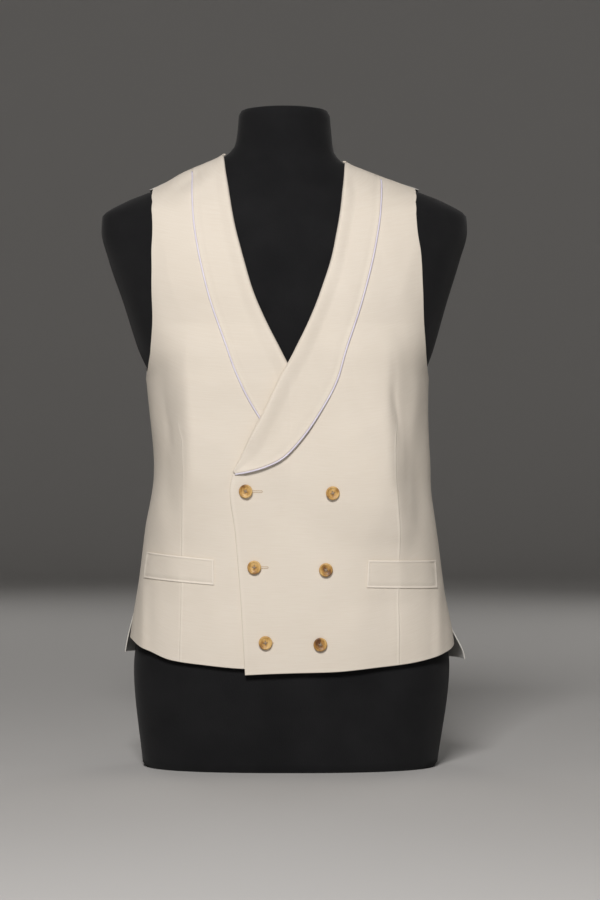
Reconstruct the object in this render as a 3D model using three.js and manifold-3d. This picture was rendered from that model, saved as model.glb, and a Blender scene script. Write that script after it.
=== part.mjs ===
// Double-breasted waistcoat with a shawl lapel, on a plain limbless dress form.
// Millimetres, Z up. The wearer faces -Y, so the wearer's left side lies at +X.
// The left front laps over the right one. The origin is the middle of the form's flat base.
import * as THREE from "three";
import { mergeVertices } from "three/addons/utils/BufferGeometryUtils.js";
import Module from "manifold-3d";

const wasm = await Module();
wasm.setup();

// Cloth thickness and the gaps between neighbours
const FRONT_CLOTH = 2;
const BACK_CLOTH = 1.5;
const SEAM_GAP = 0.35;
const LAYER_GAP = 0.6;
const LOOSE_GAP = 0.8;
const PIPING_RADIUS = 1.2;

// Heights of the main lines
const FRONT_EDGE_BOTTOM = 118;
const NECK_POINT = 739;
const SIDE_HEM = 151;
const SHOULDER_TIP = 696;
const UNDERARM = 466;
const BACK_HEM = 125;
const BACK_NECK = 728;
const BREAK_POINT = 353;

// Angles round the body, in degrees from the middle of the front
const SIDE_SEAM = 88;
const SHOULDER_SEAM = 83;
const CENTRE_BACK = 180;

// Half the body in level sections. "half" is the half width, "front" and "back" the depths from
// the side line, "side" that line's own place in Y, "square" the corner's fullness, "lean" the
// shift to one side, and "ease" the room between the form and the cloth's inner face.
const SECTIONS = named(
  ["z", "half", "front", "back", "side", "square", "lean", "ease"],
  [
    [0, 184, 108, 112, 6, 2.5, 0, 6],
    [120, 197, 118, 120, 6, 2.5, 2, 6],
    [150, 194.3, 117, 117, 5, 2.5, 2.2, 6],
    [212, 184, 112, 109, 3, 2.5, 1, 5.5],
    [285, 174, 107, 99, 1, 2.5, 1, 5],
    [350, 165, 104, 93, 0, 2.5, 3, 4.5],
    [411, 165.7, 106, 95, 2, 2.5, 0, 3.8],
    [466, 169, 114, 104, 6, 2.5, -3, 3],
    [502, 181, 119, 108, 9, 2.5, -5, 2.2],
    [557, 197, 119, 111, 12, 2.4, -6, 1.4],
    [611, 215, 111, 110, 14, 2.3, -7, 1.6],
    [647, 224, 100, 104, 15, 2.15, -7, 1.6],
    [664, 223, 93, 99, 15, 2.1, -7, 1.6],
    [684, 193, 83, 90, 15, 2, -7, 1.6],
    [696, 162.5, 76, 83, 14, 1.95, -7, 1.6],
    [720, 112, 63, 69, 12, 1.9, -7, 1.6],
    [739, 72, 54, 60, 10, 1.95, -7, 1.6],
    [752, 61, 52, 55, 7, 2, -7, 1.6],
    [795, 56, 54, 50, 2, 2, -7, 1.6],
  ],
);

// The front edge below the break point and the roll line above it, for each front
const FRONT_EDGE = named(
  ["z", "left", "right"],
  [
    [118, -52, 52],
    [200, -57, 57],
    [280, -63, 63],
    [332, -68, 68],
    [353, -64.5, 64.5],
    [372, -54.5, 55],
    [416, -31.5, 35],
    [463, -9.7, 5],
    [498, 9.5, -14],
    [533, 26, -31.5],
    [569, 40, -46.5],
    [605, 51.4, -57],
    [641, 58.4, -66.5],
    [672, 63, -72.5],
    [703, 65.5, -77],
    [739, 67, -81],
  ],
);

// The lapel's outer edge, where the piping runs, from the shoulder down to the break point
const LAPEL_EDGE = named(
  ["left", "leftZ", "right", "rightZ"],
  [
    [108, 714, -116.5, 718],
    [109, 700, -115.8, 699],
    [107.5, 670, -114.5, 666],
    [102.8, 634, -110, 630],
    [95, 596, -99, 580],
    [80, 542, -89, 546],
    [64, 495, -74, 505],
    [54, 463, -58, 464],
    [39, 434, -42, 432],
    [19, 401, -24, 404],
    [-7, 372, 7, 373],
    [-28, 361, 28, 361],
    [-48, 355, 48, 355],
    [-62, 352.5, 62, 352.5],
  ],
);

// Armhole from the underarm to the shoulder tip, as the angles of each front and of the back
const ARMHOLE = named(
  ["z", "left", "right", "back"],
  [
    [151, 88, 88, 88],
    [466, 88, 88, 88],
    [469, 83, 82, 91],
    [474, 79, 77, 94.5],
    [482, 75, 72.5, 98.5],
    [500, 69.8, 66.4, 106],
    [545, 65.3, 62.4, 111.5],
    [590, 63.7, 61.5, 114],
    [625, 63.8, 62.6, 115],
    [661, 66.2, 66.1, 113.5],
    [675, 69.3, 69.3, 109],
    [682, 72.4, 72.4, 104],
    [688, 75.6, 75.6, 98],
    [692, 79, 79, 92],
    [696, 83, 83, 83],
  ],
);

// The hem's height by the distance past the middle, towards each front's own side
const FRONT_HEM = named(
  ["reach", "left", "right"],
  [
    [-60, 116.5, 123],
    [-25, 118.3, 123],
    [0, 119.2, 123],
    [50, 120.5, 124],
    [100, 125, 128],
    [140, 129, 133],
    [165, 133.5, 142],
    [180, 138, 148],
    [190, 142, 154],
    [200, 149, 157],
  ],
);

// The long dart from the chest to the hem, and the line above it to the shoulder
const DART_LINE = named(
  ["z", "left", "right"],
  [
    [118, 128, -129],
    [262, 125.5, -124.5],
    [322, 117.8, -119],
    [350, 116.2, -117.5],
    [391, 117.5, -118.5],
    [411, 120, -123.5],
    [560, 124, -132],
    [712, 120, -134],
  ],
);
const DART_TOP = 411;
const DART_DEPTH = 0.9;

// How far the cloth stands off the body along the darts, where the front turns to the side
const PLANE_BREAK = named(
  ["z", "left", "leftHeight", "right", "rightHeight"],
  [
    [200, 126, 0, -127, 0],
    [262, 125, 5, -125, 2.8],
    [290, 122, 8, -123, 5],
    [320, 118, 10, -119.5, 8],
    [350, 114, 10.5, -115.5, 10.5],
    [391, 112.5, 10.5, -113.5, 10.5],
    [450, 112, 9, -116.5, 10],
    [490, 113.5, 6, -119, 7],
    [530, 116, 0, -120, 0],
  ],
);
const BREAK_INNER_REACH = 62;
const BREAK_OUTER_REACH = 43;
const BREAK_INNER_POWER = 1.6;
const BREAK_OUTER_POWER = 1.8;

// Corners of each welt pocket
const WELTS = {
  left: { top: [[89.7, 251], [171.4, 249]], bottom: [[89, 219], [173.5, 216]] },
  right: { top: [[-88, 252], [-168, 259]], bottom: [[-88, 222], [-172.5, 228]] },
};

// Soft ridges that the cloth shows, as the place, half length, half width and height of each
const FOLDS = named(
  ["x", "z", "halfLength", "halfWidth", "height", "tilt"],
  [
    [-127, 714, 24, 8, 1.2, 52],
    [-108, 692, 26, 9, 1.4, 52],
    [146, 440, 50, 10, 1.8, 4],
    [-163, 432, 40, 10, 1.8, -6],
    [-150, 320, 60, 14, 1.4, -3],
  ],
);
const BACK_FOLDS = named(
  ["x", "z", "halfLength", "halfWidth", "height", "tilt"],
  [
    [70, 400, 95, 16, 2.2, 4],
    [-76, 390, 90, 16, 2, -5],
    [25, 300, 70, 13, 1.6, -3],
    [-30, 310, 75, 13, 1.5, 3],
    [120, 520, 60, 15, 1.8, 24],
    [-124, 515, 62, 15, 1.8, -24],
  ],
);

// Horn buttons, two columns of three, on the left front
const BUTTON_RADIUS = 8.1;
const BUTTON_SEAT_GAP = 0.6;
const BUTTON_HOLE_RADIUS = 0.85;
const BUTTON_HOLE_OFFSET = 1.9;
const BUTTON_HOLES = 4;
const BUTTON_HOLE_SIDES = 6;
const DRILL_LENGTH = 12;
const BUTTON_PLACES = named(
  ["name", "x", "z"],
  [
    ["button_top_right", -50, 332],
    ["button_top_left", 48.8, 330],
    ["button_middle_right", -41, 243],
    ["button_middle_left", 41.9, 240],
    ["button_bottom_right", -28, 155],
    ["button_bottom_left", 35.6, 153],
  ],
);

const COLORS = {
  cream: "#e2d8c4",
  ivory: "#dcdad2",
  lilac: "#e9e4f2",
  horn: "#b98544",
  black: "#121315",
};

const part = new THREE.Group();

// Rows of values as objects with the columns' names.
function named(columns, rows) {
  return rows.map((row) => Object.fromEntries(columns.map((column, i) => [column, row[i]])));
}

// A smooth curve through a table's column that never swings past its own values.
function curveThrough(rows, key, column) {
  const at = rows.map((row) => row[key]);
  const value = rows.map((row) => row[column]);
  const last = rows.length - 1;
  const rise = at.slice(1).map((end, i) => (value[i + 1] - value[i]) / (end - at[i]));
  const slope = at.map((_, i) => {
    if (i === 0) return rise[0];
    if (i === last) return rise[last - 1];
    if (rise[i - 1] * rise[i] <= 0) return 0;
    const before = at[i] - at[i - 1];
    const after = at[i + 1] - at[i];
    const weight = 2 * after + before;
    const otherWeight = after + 2 * before;
    return (weight + otherWeight) / (weight / rise[i - 1] + otherWeight / rise[i]);
  });
  return (where) => {
    const inside = THREE.MathUtils.clamp(where, at[0], at[last]);
    let i = 0;
    while (i < last - 1 && inside > at[i + 1]) i += 1;
    const span = at[i + 1] - at[i];
    const t = (inside - at[i]) / span;
    const start = value[i] * (2 * t ** 3 - 3 * t ** 2 + 1) + slope[i] * span * (t ** 3 - 2 * t ** 2 + t);
    const end = value[i + 1] * (3 * t ** 2 - 2 * t ** 3) + slope[i + 1] * span * (t ** 3 - t ** 2);
    return start + end;
  };
}

const body = {};
for (const column of ["half", "front", "back", "side", "square", "lean", "ease"]) {
  body[column] = curveThrough(SECTIONS, "z", column);
}
const edgeX = {
  left: curveThrough(FRONT_EDGE, "z", "left"),
  right: curveThrough(FRONT_EDGE, "z", "right"),
};
const dartX = {
  left: curveThrough(DART_LINE, "z", "left"),
  right: curveThrough(DART_LINE, "z", "right"),
};
const hemHeight = {
  left: curveThrough(FRONT_HEM, "reach", "left"),
  right: curveThrough(FRONT_HEM, "reach", "right"),
};
const armhole = {
  left: curveThrough(ARMHOLE, "z", "left"),
  right: curveThrough(ARMHOLE, "z", "right"),
  back: curveThrough(ARMHOLE, "z", "back"),
};
const rightLapelFloor = curveThrough(
  LAPEL_EDGE.slice(6).map((row) => ({ x: row.right, z: row.rightZ })),
  "x",
  "z",
);

// How much lower the left side of the neck and its shoulder sit than the right ones.
const NECK_DROP = 8.5;
const NECK_SIDE_X = 63;
const SHOULDER_WIDTH = 87;
const DROP_START = 600;
const DROP_FULL = 735;
const DROP_FADE = 745;
const DROP_END = 770;
function neckDrop(x, z) {
  const inwards = THREE.MathUtils.smoothstep(x, 0, NECK_SIDE_X);
  const outwards = 1 - THREE.MathUtils.clamp((x - NECK_SIDE_X) / SHOULDER_WIDTH, 0, 1) ** 2;
  const upwards = THREE.MathUtils.smoothstep(z, DROP_START, DROP_FULL) * fade(z, DROP_FADE, DROP_END);
  return NECK_DROP * inwards * outwards * upwards;
}

// A point of the cloth's inner face. Angles are in degrees, positive towards the wearer's left.
function bodyPoint(angle, z) {
  const turn = THREE.MathUtils.degToRad(angle);
  const depth = Math.cos(turn) >= 0 ? body.front(z) : body.back(z);
  const power = body.square(z);
  const across = Math.abs(Math.sin(turn) / body.half(z)) ** power;
  const along = Math.abs(Math.cos(turn) / depth) ** power;
  const radius = (across + along) ** (-1 / power);
  const x = body.lean(z) + radius * Math.sin(turn);
  const y = body.side(z) - radius * Math.cos(turn);
  return new THREE.Vector3(x, y, z - neckDrop(x, z));
}

// The same point moved out of the body by a distance.
function offBody(angle, z, out) {
  const round = bodyPoint(angle + 0.4, z).sub(bodyPoint(angle - 0.4, z));
  const up = bodyPoint(angle, z + 0.6).sub(bodyPoint(angle, z - 0.6));
  const normal = round.cross(up).normalize();
  return bodyPoint(angle, z).addScaledVector(normal, out);
}

// The angle at which the front of the body shows a given X at a given height.
function frontAngle(x, z) {
  const across = x - body.lean(z);
  const share = Math.min(Math.abs(across) / body.half(z), 1);
  const power = body.square(z);
  const depth = body.front(z) * (1 - share ** power) ** (1 / power);
  const angle = THREE.MathUtils.radToDeg(Math.atan2(across, depth));
  return THREE.MathUtils.clamp(angle, -SHOULDER_SEAM, SHOULDER_SEAM);
}

// The share of the way up at row i, where the last rows are closer together.
function rowShare(i, rows, fineRows, fineShare) {
  const plainRows = rows - fineRows;
  if (i <= plainRows) return ((1 - fineShare) * i) / plainRows;
  return 1 - (fineShare * (rows - i)) / fineRows;
}

function mix(from, to, share) {
  return from + (to - from) * share;
}

// 1 up to "near", falling smoothly to 0 at "far".
function fade(distance, near, far) {
  return 1 - THREE.MathUtils.smoothstep(distance, near, far);
}

// The height of the soft ridges at a place seen from the front or the back.
function foldHeight(folds, x, z) {
  let height = 0;
  for (const fold of folds) {
    const tilt = THREE.MathUtils.degToRad(fold.tilt);
    const along = (z - fold.z) * Math.cos(tilt) + (x - fold.x) * Math.sin(tilt);
    const across = (x - fold.x) * Math.cos(tilt) - (z - fold.z) * Math.sin(tilt);
    const falloff = (along / fold.halfLength) ** 2 + (across / fold.halfWidth) ** 2;
    height += fold.height * Math.exp(-falloff);
  }
  return height;
}

// How far the left front is lifted by the right front and the right lapel that lie under it.
const LAP_MARGIN = 17;
const LAP_FADE = 62;
const ROLL_SLANT = 0.9;
const FLOOR_SLANT = 0.72;
function lapLift(x, z) {
  const pastEdge = (x - edgeX.right(z)) * ROLL_SLANT;
  const overFront = fade(pastEdge, LAP_MARGIN, LAP_FADE);
  const belowLapel = (rightLapelFloor(x) - z) * FLOOR_SLANT;
  const pastLapel = Math.max(pastEdge, belowLapel);
  const overLapel = fade(pastLapel, LAP_MARGIN, LAP_FADE);
  const frontStep = FRONT_CLOTH + LAYER_GAP;
  const lapelStep = 2 * PIPING_RADIUS + LOOSE_GAP;
  return frontStep * overFront + lapelStep * overLapel;
}

// The plane break's ridge, sharp along its line, that falls to nothing on both sides.
const breakCurves = {
  left: curveThrough(PLANE_BREAK, "z", "left"),
  leftHeight: curveThrough(PLANE_BREAK, "z", "leftHeight"),
  right: curveThrough(PLANE_BREAK, "z", "right"),
  rightHeight: curveThrough(PLANE_BREAK, "z", "rightHeight"),
};
function planeBreak(x, z) {
  const side = x < 0 ? "right" : "left";
  const past = Math.abs(x) - Math.abs(breakCurves[side](z));
  const inner = Math.max(0, 1 + past / BREAK_INNER_REACH) ** BREAK_INNER_POWER;
  const outer = Math.max(0, 1 - past / BREAK_OUTER_REACH) ** BREAK_OUTER_POWER;
  return breakCurves[side + "Height"](z) * (past < 0 ? inner : outer);
}

// The inner face of a front at a place, measured out of the body.
function frontBase(side, angle, z) {
  const x = bodyPoint(angle, z).x;
  const lift = side === "left" ? lapLift(x, z) : 0;
  return lift + planeBreak(x, z) + foldHeight(FOLDS, x, z);
}

// A closed wall between two grids of points with the same rows and columns.
function wall(rows, columns, outerPoint, innerPoint) {
  const points = [];
  const faces = [];
  const perLayer = (rows + 1) * (columns + 1);
  const at = (layer, i, j) => layer * perLayer + i * (columns + 1) + j;
  for (const pointOf of [outerPoint, innerPoint]) {
    for (let i = 0; i <= rows; i += 1) {
      for (let j = 0; j <= columns; j += 1) points.push(...pointOf(i, j).toArray());
    }
  }
  const quad = (a, b, c, d) => faces.push(a, b, c, a, c, d);
  for (let i = 0; i < rows; i += 1) {
    for (let j = 0; j < columns; j += 1) {
      quad(at(0, i, j), at(0, i, j + 1), at(0, i + 1, j + 1), at(0, i + 1, j));
      quad(at(1, i, j), at(1, i + 1, j), at(1, i + 1, j + 1), at(1, i, j + 1));
    }
    quad(at(0, i, 0), at(0, i + 1, 0), at(1, i + 1, 0), at(1, i, 0));
    quad(at(0, i + 1, columns), at(0, i, columns), at(1, i, columns), at(1, i + 1, columns));
  }
  for (let j = 0; j < columns; j += 1) {
    quad(at(0, 0, j + 1), at(0, 0, j), at(1, 0, j), at(1, 0, j + 1));
    quad(at(0, rows, j), at(0, rows, j + 1), at(1, rows, j + 1), at(1, rows, j));
  }
  return facingOut(points, faces);
}

// A geometry from points and faces, turned round where its faces point inwards.
function facingOut(points, faces) {
  const geometry = new THREE.BufferGeometry();
  geometry.setAttribute("position", new THREE.Float32BufferAttribute(points, 3));
  let volume = 0;
  const corner = (k) => new THREE.Vector3().fromArray(points, 3 * faces[k]);
  for (let k = 0; k < faces.length; k += 3) {
    volume += corner(k).dot(corner(k + 1).cross(corner(k + 2)));
  }
  if (volume < 0) faces.reverse();
  geometry.setIndex(faces);
  geometry.computeVertexNormals();
  return geometry;
}

function add(name, geometry, color, roughness) {
  const material = new THREE.MeshStandardMaterial({ color, roughness, metalness: 0 });
  const mesh = new THREE.Mesh(geometry, material);
  mesh.name = name;
  part.add(mesh);
  return mesh;
}

// Fronts: each runs from the front edge and roll line, past the dart, to the side seam and armhole.
const FRONT_ROWS = 39;
const FRONT_FINE_ROWS = 9;
const FRONT_FINE_SHARE = 0.11;
const COLUMNS_TO_DART = 10;
const COLUMNS_TO_SIDE = 6;
const HEM_REACH = 0.25;

function frontPlace(side, i, j) {
  const sign = side === "left" ? 1 : -1;
  const v = rowShare(i, FRONT_ROWS, FRONT_FINE_ROWS, FRONT_FINE_SHARE);
  const columns = COLUMNS_TO_DART + COLUMNS_TO_SIDE;
  const u = j / columns;
  const edgeZ = mix(FRONT_EDGE_BOTTOM, NECK_POINT, v);
  const sideZ = mix(SIDE_HEM, SHOULDER_TIP, v);
  const dartZ = mix(edgeZ, sideZ, COLUMNS_TO_DART / columns);
  const atEdge = i === FRONT_ROWS ? sign * SHOULDER_SEAM : frontAngle(edgeX[side](edgeZ), edgeZ);
  const atDart = i === FRONT_ROWS ? sign * SHOULDER_SEAM : frontAngle(dartX[side](dartZ), dartZ);
  const atSide = sign * armhole[side](sideZ);
  const beforeDart = j <= COLUMNS_TO_DART;
  const angle = beforeDart
    ? mix(atEdge, atDart, j / COLUMNS_TO_DART)
    : mix(atDart, atSide, (j - COLUMNS_TO_DART) / COLUMNS_TO_SIDE);
  const plainZ = mix(edgeZ, sideZ, u);
  const reach = sign * bodyPoint(angle, plainZ).x;
  const bottomZ = mix(FRONT_EDGE_BOTTOM, SIDE_HEM, u);
  const hemShift = hemHeight[side](reach) - bottomZ;
  const z = plainZ + hemShift * Math.max(0, 1 - v / HEM_REACH) ** 2;
  return { angle, z };
}

function addFront(side) {
  const columns = COLUMNS_TO_DART + COLUMNS_TO_SIDE;
  const pointAt = (thickness) => (i, j) => {
    const { angle, z } = frontPlace(side, i, j);
    const onDart = j === COLUMNS_TO_DART && z < DART_TOP;
    const base = frontBase(side, angle, z) - (onDart ? DART_DEPTH : 0);
    return offBody(angle, z, base + thickness);
  };
  add("front_" + side, wall(FRONT_ROWS, columns, pointAt(FRONT_CLOTH), pointAt(0)), COLORS.cream, 0.85);
}

// Lapels: each lies on its front from the roll line outwards, and its lip turns round the roll.
const LAPEL_ROWS = 30;
const LAPEL_FINE_ROWS = 8;
const LAPEL_FINE_SHARE = 0.12;
const LAPEL_END = 0.975;
const LIP = [
  { outerAcross: -2.6, outerUp: 0.2, innerAcross: -0.5, innerUp: 0.2 },
  { outerAcross: -2.3, outerUp: 3.4, innerAcross: -0.5, innerUp: 2.9 },
  { outerAcross: 1.2, outerUp: 4.9, innerAcross: 1.4, innerUp: 2.9 },
];
const LAPEL_COLUMNS = 5;
const SHOULDER_ROOM = 0.7;
const SHOULDER_ROOM_START = 630;
const SHOULDER_ROOM_FULL = 680;

function lapelOutline(side) {
  const points = LAPEL_EDGE.map((row) => new THREE.Vector3(row[side], 0, row[side + "Z"]));
  return new THREE.CatmullRomCurve3(points, false, "centripetal");
}

function lapelRow(side, outline, t) {
  const sign = side === "left" ? 1 : -1;
  const rollZ = mix(NECK_POINT, BREAK_POINT + 1, t);
  const outer = outline.getPointAt(t);
  const rollAngle = t === 0 ? sign * SHOULDER_SEAM : frontAngle(edgeX[side](rollZ), rollZ);
  const outerAngle = frontAngle(outer.x, outer.z);
  const width = bodyPoint(rollAngle, rollZ).distanceTo(bodyPoint(outerAngle, outer.z));
  return (across) => ({
    angle: mix(rollAngle, outerAngle, across / width),
    z: mix(rollZ, outer.z, across / width),
    width,
  });
}

function addLapel(side) {
  const outline = lapelOutline(side);
  const lipColumns = LIP.length;
  const columns = lipColumns + LAPEL_COLUMNS - 1;
  const pointAt = (outside) => (i, j) => {
    const down = 1 - rowShare(LAPEL_ROWS - i, LAPEL_ROWS, LAPEL_FINE_ROWS, LAPEL_FINE_SHARE);
    const row = lapelRow(side, outline, down * LAPEL_END);
    const flatEdge = row(0).width - PIPING_RADIUS - LOOSE_GAP;
    const rollZ = row(0).z;
    const room = SHOULDER_ROOM * THREE.MathUtils.smoothstep(rollZ, SHOULDER_ROOM_START, SHOULDER_ROOM_FULL);
    let across;
    let up;
    if (j < lipColumns) {
      across = (outside ? LIP[j].outerAcross : LIP[j].innerAcross) - room;
      up = outside ? LIP[j].outerUp : LIP[j].innerUp;
    } else {
      across = mix(LIP[lipColumns - 1].innerAcross, flatEdge, (j - lipColumns + 1) / LAPEL_COLUMNS);
      up = FRONT_CLOTH + LOOSE_GAP + (outside ? FRONT_CLOTH : 0);
    }
    const { angle, z } = row(across);
    return offBody(angle, z, frontBase(side, angle, z) + up + room);
  };
  add("lapel_" + side, wall(LAPEL_ROWS, columns, pointAt(true), pointAt(false)), COLORS.cream, 0.85);
}

// Piping: a round cord of cloth sewn along each lapel's outer edge.
const PIPING_STEPS = 48;
const PIPING_SIDES = 6;
const PIPING_START = 0.015;
const PIPING_END = 0.995;

function addPiping(side) {
  const outline = lapelOutline(side);
  const points = [];
  for (let k = 0; k <= PIPING_STEPS; k += 1) {
    const t = mix(PIPING_START, PIPING_END, k / PIPING_STEPS);
    const edge = outline.getPointAt(t);
    const angle = frontAngle(edge.x, edge.z);
    const up = frontBase(side, angle, edge.z) + FRONT_CLOTH + LAYER_GAP + PIPING_RADIUS;
    points.push(offBody(angle, edge.z, up));
  }
  const section = new THREE.Shape();
  for (let k = 0; k < PIPING_SIDES; k += 1) {
    const turn = (2 * Math.PI * k) / PIPING_SIDES;
    const corner = [PIPING_RADIUS * Math.cos(turn), PIPING_RADIUS * Math.sin(turn)];
    if (k === 0) section.moveTo(...corner);
    else section.lineTo(...corner);
  }
  section.closePath();
  const path = new THREE.CatmullRomCurve3(points, false, "centripetal");
  const options = { steps: PIPING_STEPS, extrudePath: path, bevelEnabled: false, curveSegments: 1 };
  add("piping_" + side, new THREE.ExtrudeGeometry(section, options), COLORS.lilac, 0.5);
}

// Welts: a flat strip over each pocket's mouth, on the front's own form.
const WELT_COLUMNS = 9;
const WELT_ROWS = 2;

function addWelt(side) {
  const { top, bottom } = WELTS[side];
  const pointAt = (thickness) => (i, j) => {
    const v = i / WELT_ROWS;
    const u = j / WELT_COLUMNS;
    const x = mix(mix(bottom[0][0], bottom[1][0], u), mix(top[0][0], top[1][0], u), v);
    const z = mix(mix(bottom[0][1], bottom[1][1], u), mix(top[0][1], top[1][1], u), v);
    const angle = frontAngle(x, z);
    const base = frontBase(side, angle, z) + FRONT_CLOTH + LOOSE_GAP;
    return offBody(angle, z, base + thickness);
  };
  add("welt_" + side, wall(WELT_ROWS, WELT_COLUMNS, pointAt(FRONT_CLOTH), pointAt(0)), COLORS.cream, 0.85);
}

// Back: two halves joined by the centre seam, with a vent at each side under the side seam.
const BACK_ROWS = 38;
const BACK_COLUMNS = 12;
const BACK_NECK_ROW = 26;
const UNDERARM_ROW = 17;
const BACK_FINE_ROWS = 9;
const BACK_FINE_SHARE = 0.12;
const VENTS = {
  left: { top: 172, hem: 127, flare: 12 },
  right: { top: 200, hem: 136, flare: 5 },
};
const VENT_WIDTH = 34;
const BACK_FOLD_START = 100;
const BACK_FOLD_FULL = 125;

function backPlace(side, i, j) {
  const sign = side === "left" ? 1 : -1;
  const u = j / BACK_COLUMNS;
  const onNeck = i > BACK_NECK_ROW;
  const neckShare = (i - BACK_NECK_ROW) / (BACK_ROWS - BACK_NECK_ROW);
  const middleZ = onNeck
    ? mix(BACK_NECK, NECK_POINT, neckShare ** 2)
    : mix(BACK_HEM, BACK_NECK, i / BACK_NECK_ROW);
  const upperRows = BACK_ROWS - UNDERARM_ROW;
  const upperShare = rowShare(i - UNDERARM_ROW, upperRows, BACK_FINE_ROWS, BACK_FINE_SHARE);
  const sideZ = i <= UNDERARM_ROW
    ? mix(VENTS[side].hem, UNDERARM, i / UNDERARM_ROW)
    : mix(UNDERARM, SHOULDER_TIP, upperShare);
  const seamShift = (z) => THREE.MathUtils.radToDeg(SEAM_GAP / body.half(z));
  const centreShift = THREE.MathUtils.radToDeg(SEAM_GAP / 2 / body.back(middleZ));
  const middleAngle = onNeck
    ? mix(CENTRE_BACK - centreShift, SHOULDER_SEAM + seamShift(middleZ), neckShare)
    : CENTRE_BACK - centreShift;
  const sideAngle = armhole.back(sideZ) + seamShift(sideZ);
  return { angle: sign * mix(middleAngle, sideAngle, u), z: mix(middleZ, sideZ, u) };
}

function addBack(side) {
  const pointAt = (thickness) => (i, j) => {
    const { angle, z } = backPlace(side, i, j);
    const place = bodyPoint(angle, z);
    const fromSeam = Math.abs(angle) - SIDE_SEAM;
    const vent = VENTS[side];
    const flare = vent.flare * fade(z, vent.hem, vent.top) * fade(fromSeam, 0, VENT_WIDTH);
    const behind = THREE.MathUtils.smoothstep(Math.abs(angle), BACK_FOLD_START, BACK_FOLD_FULL);
    const base = flare + behind * foldHeight(BACK_FOLDS, place.x, z);
    return offBody(angle, z, base + thickness);
  };
  add("back_" + side, wall(BACK_ROWS, BACK_COLUMNS, pointAt(BACK_CLOTH), pointAt(0)), COLORS.ivory, 0.5);
}

// A button: a dished disc with a rolled rim and four holes, axis along Z, seat at zero.
const BUTTON_PROFILE = named(
  ["radius", "height"],
  [
    [0, 0],
    [5.2, 0],
    [7.6, 1],
    [BUTTON_RADIUS, 2.2],
    [7.7, 3.4],
    [6.6, 3.7],
    [5.4, 3],
    [0, 2.4],
  ],
);
const BUTTON_SEGMENTS = 20;

function solid(geometry) {
  const bare = geometry.clone();
  bare.deleteAttribute("normal");
  bare.deleteAttribute("uv");
  const merged = mergeVertices(bare, 1e-4);
  const vertProperties = new Float32Array(merged.attributes.position.array);
  const triVerts = new Uint32Array(merged.index.array);
  return new wasm.Manifold(new wasm.Mesh({ numProp: 3, vertProperties, triVerts }));
}

function buttonGeometry() {
  const profile = BUTTON_PROFILE.map((row) => new THREE.Vector2(row.radius, row.height));
  const disc = new THREE.LatheGeometry(profile, BUTTON_SEGMENTS).rotateX(Math.PI / 2);
  let made = solid(disc);
  for (let k = 0; k < BUTTON_HOLES; k += 1) {
    const turn = (2 * Math.PI * (k + 0.5)) / BUTTON_HOLES;
    const radius = BUTTON_HOLE_RADIUS;
    const hole = new THREE.CylinderGeometry(radius, radius, DRILL_LENGTH, BUTTON_HOLE_SIDES);
    hole.rotateX(Math.PI / 2);
    hole.translate(BUTTON_HOLE_OFFSET * Math.cos(turn), BUTTON_HOLE_OFFSET * Math.sin(turn), 0);
    made = made.subtract(solid(hole));
  }
  const mesh = made.getMesh();
  return facingOut(Array.from(mesh.vertProperties), Array.from(mesh.triVerts));
}

function addButtons() {
  const geometry = buttonGeometry();
  for (const place of BUTTON_PLACES) {
    const angle = frontAngle(place.x, place.z);
    const up = frontBase("left", angle, place.z) + FRONT_CLOTH + BUTTON_SEAT_GAP;
    const seat = offBody(angle, place.z, up);
    const outward = offBody(angle, place.z, up + 1).sub(seat);
    const button = add(place.name, geometry.clone(), COLORS.horn, 0.35);
    button.position.copy(seat);
    button.quaternion.setFromUnitVectors(new THREE.Vector3(0, 0, 1), outward.normalize());
  }
}

// Dress form: a closed torso with a neck, flat underneath, clear of the cloth all round.
const FORM_SEGMENTS = 36;
const FORM_HEIGHTS = [
  0, 40, 80, 120, 160, 200, 240, 285, 330, 375, 420, 466, 502, 535, 570, 600, 625, 645, 660, 672, 684, 696,
  708, 720, 730, 739, 746, 756, 775, 790,
];
const NECK_TOP = 797;

function addForm() {
  const points = [0, body.side(0), 0];
  const faces = [];
  for (const z of FORM_HEIGHTS) {
    for (let k = 0; k < FORM_SEGMENTS; k += 1) {
      const place = offBody((360 * k) / FORM_SEGMENTS, z, -body.ease(z));
      points.push(place.x, place.y, z === 0 ? 0 : place.z);
    }
  }
  const rings = FORM_HEIGHTS.length;
  const at = (i, k) => 1 + i * FORM_SEGMENTS + (k % FORM_SEGMENTS);
  const top = 1 + rings * FORM_SEGMENTS;
  points.push(body.lean(NECK_TOP), body.side(NECK_TOP), NECK_TOP);
  for (let k = 0; k < FORM_SEGMENTS; k += 1) {
    faces.push(0, at(0, k + 1), at(0, k));
    faces.push(top, at(rings - 1, k), at(rings - 1, k + 1));
    for (let i = 0; i < rings - 1; i += 1) {
      faces.push(at(i, k), at(i, k + 1), at(i + 1, k + 1));
      faces.push(at(i, k), at(i + 1, k + 1), at(i + 1, k));
    }
  }
  add("dress_form", facingOut(points, faces), COLORS.black, 0.9);
}

for (const side of ["left", "right"]) {
  addFront(side);
  addLapel(side);
  addPiping(side);
  addWelt(side);
  addBack(side);
}
addButtons();
addForm();

export default part;
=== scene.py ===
import math

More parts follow.
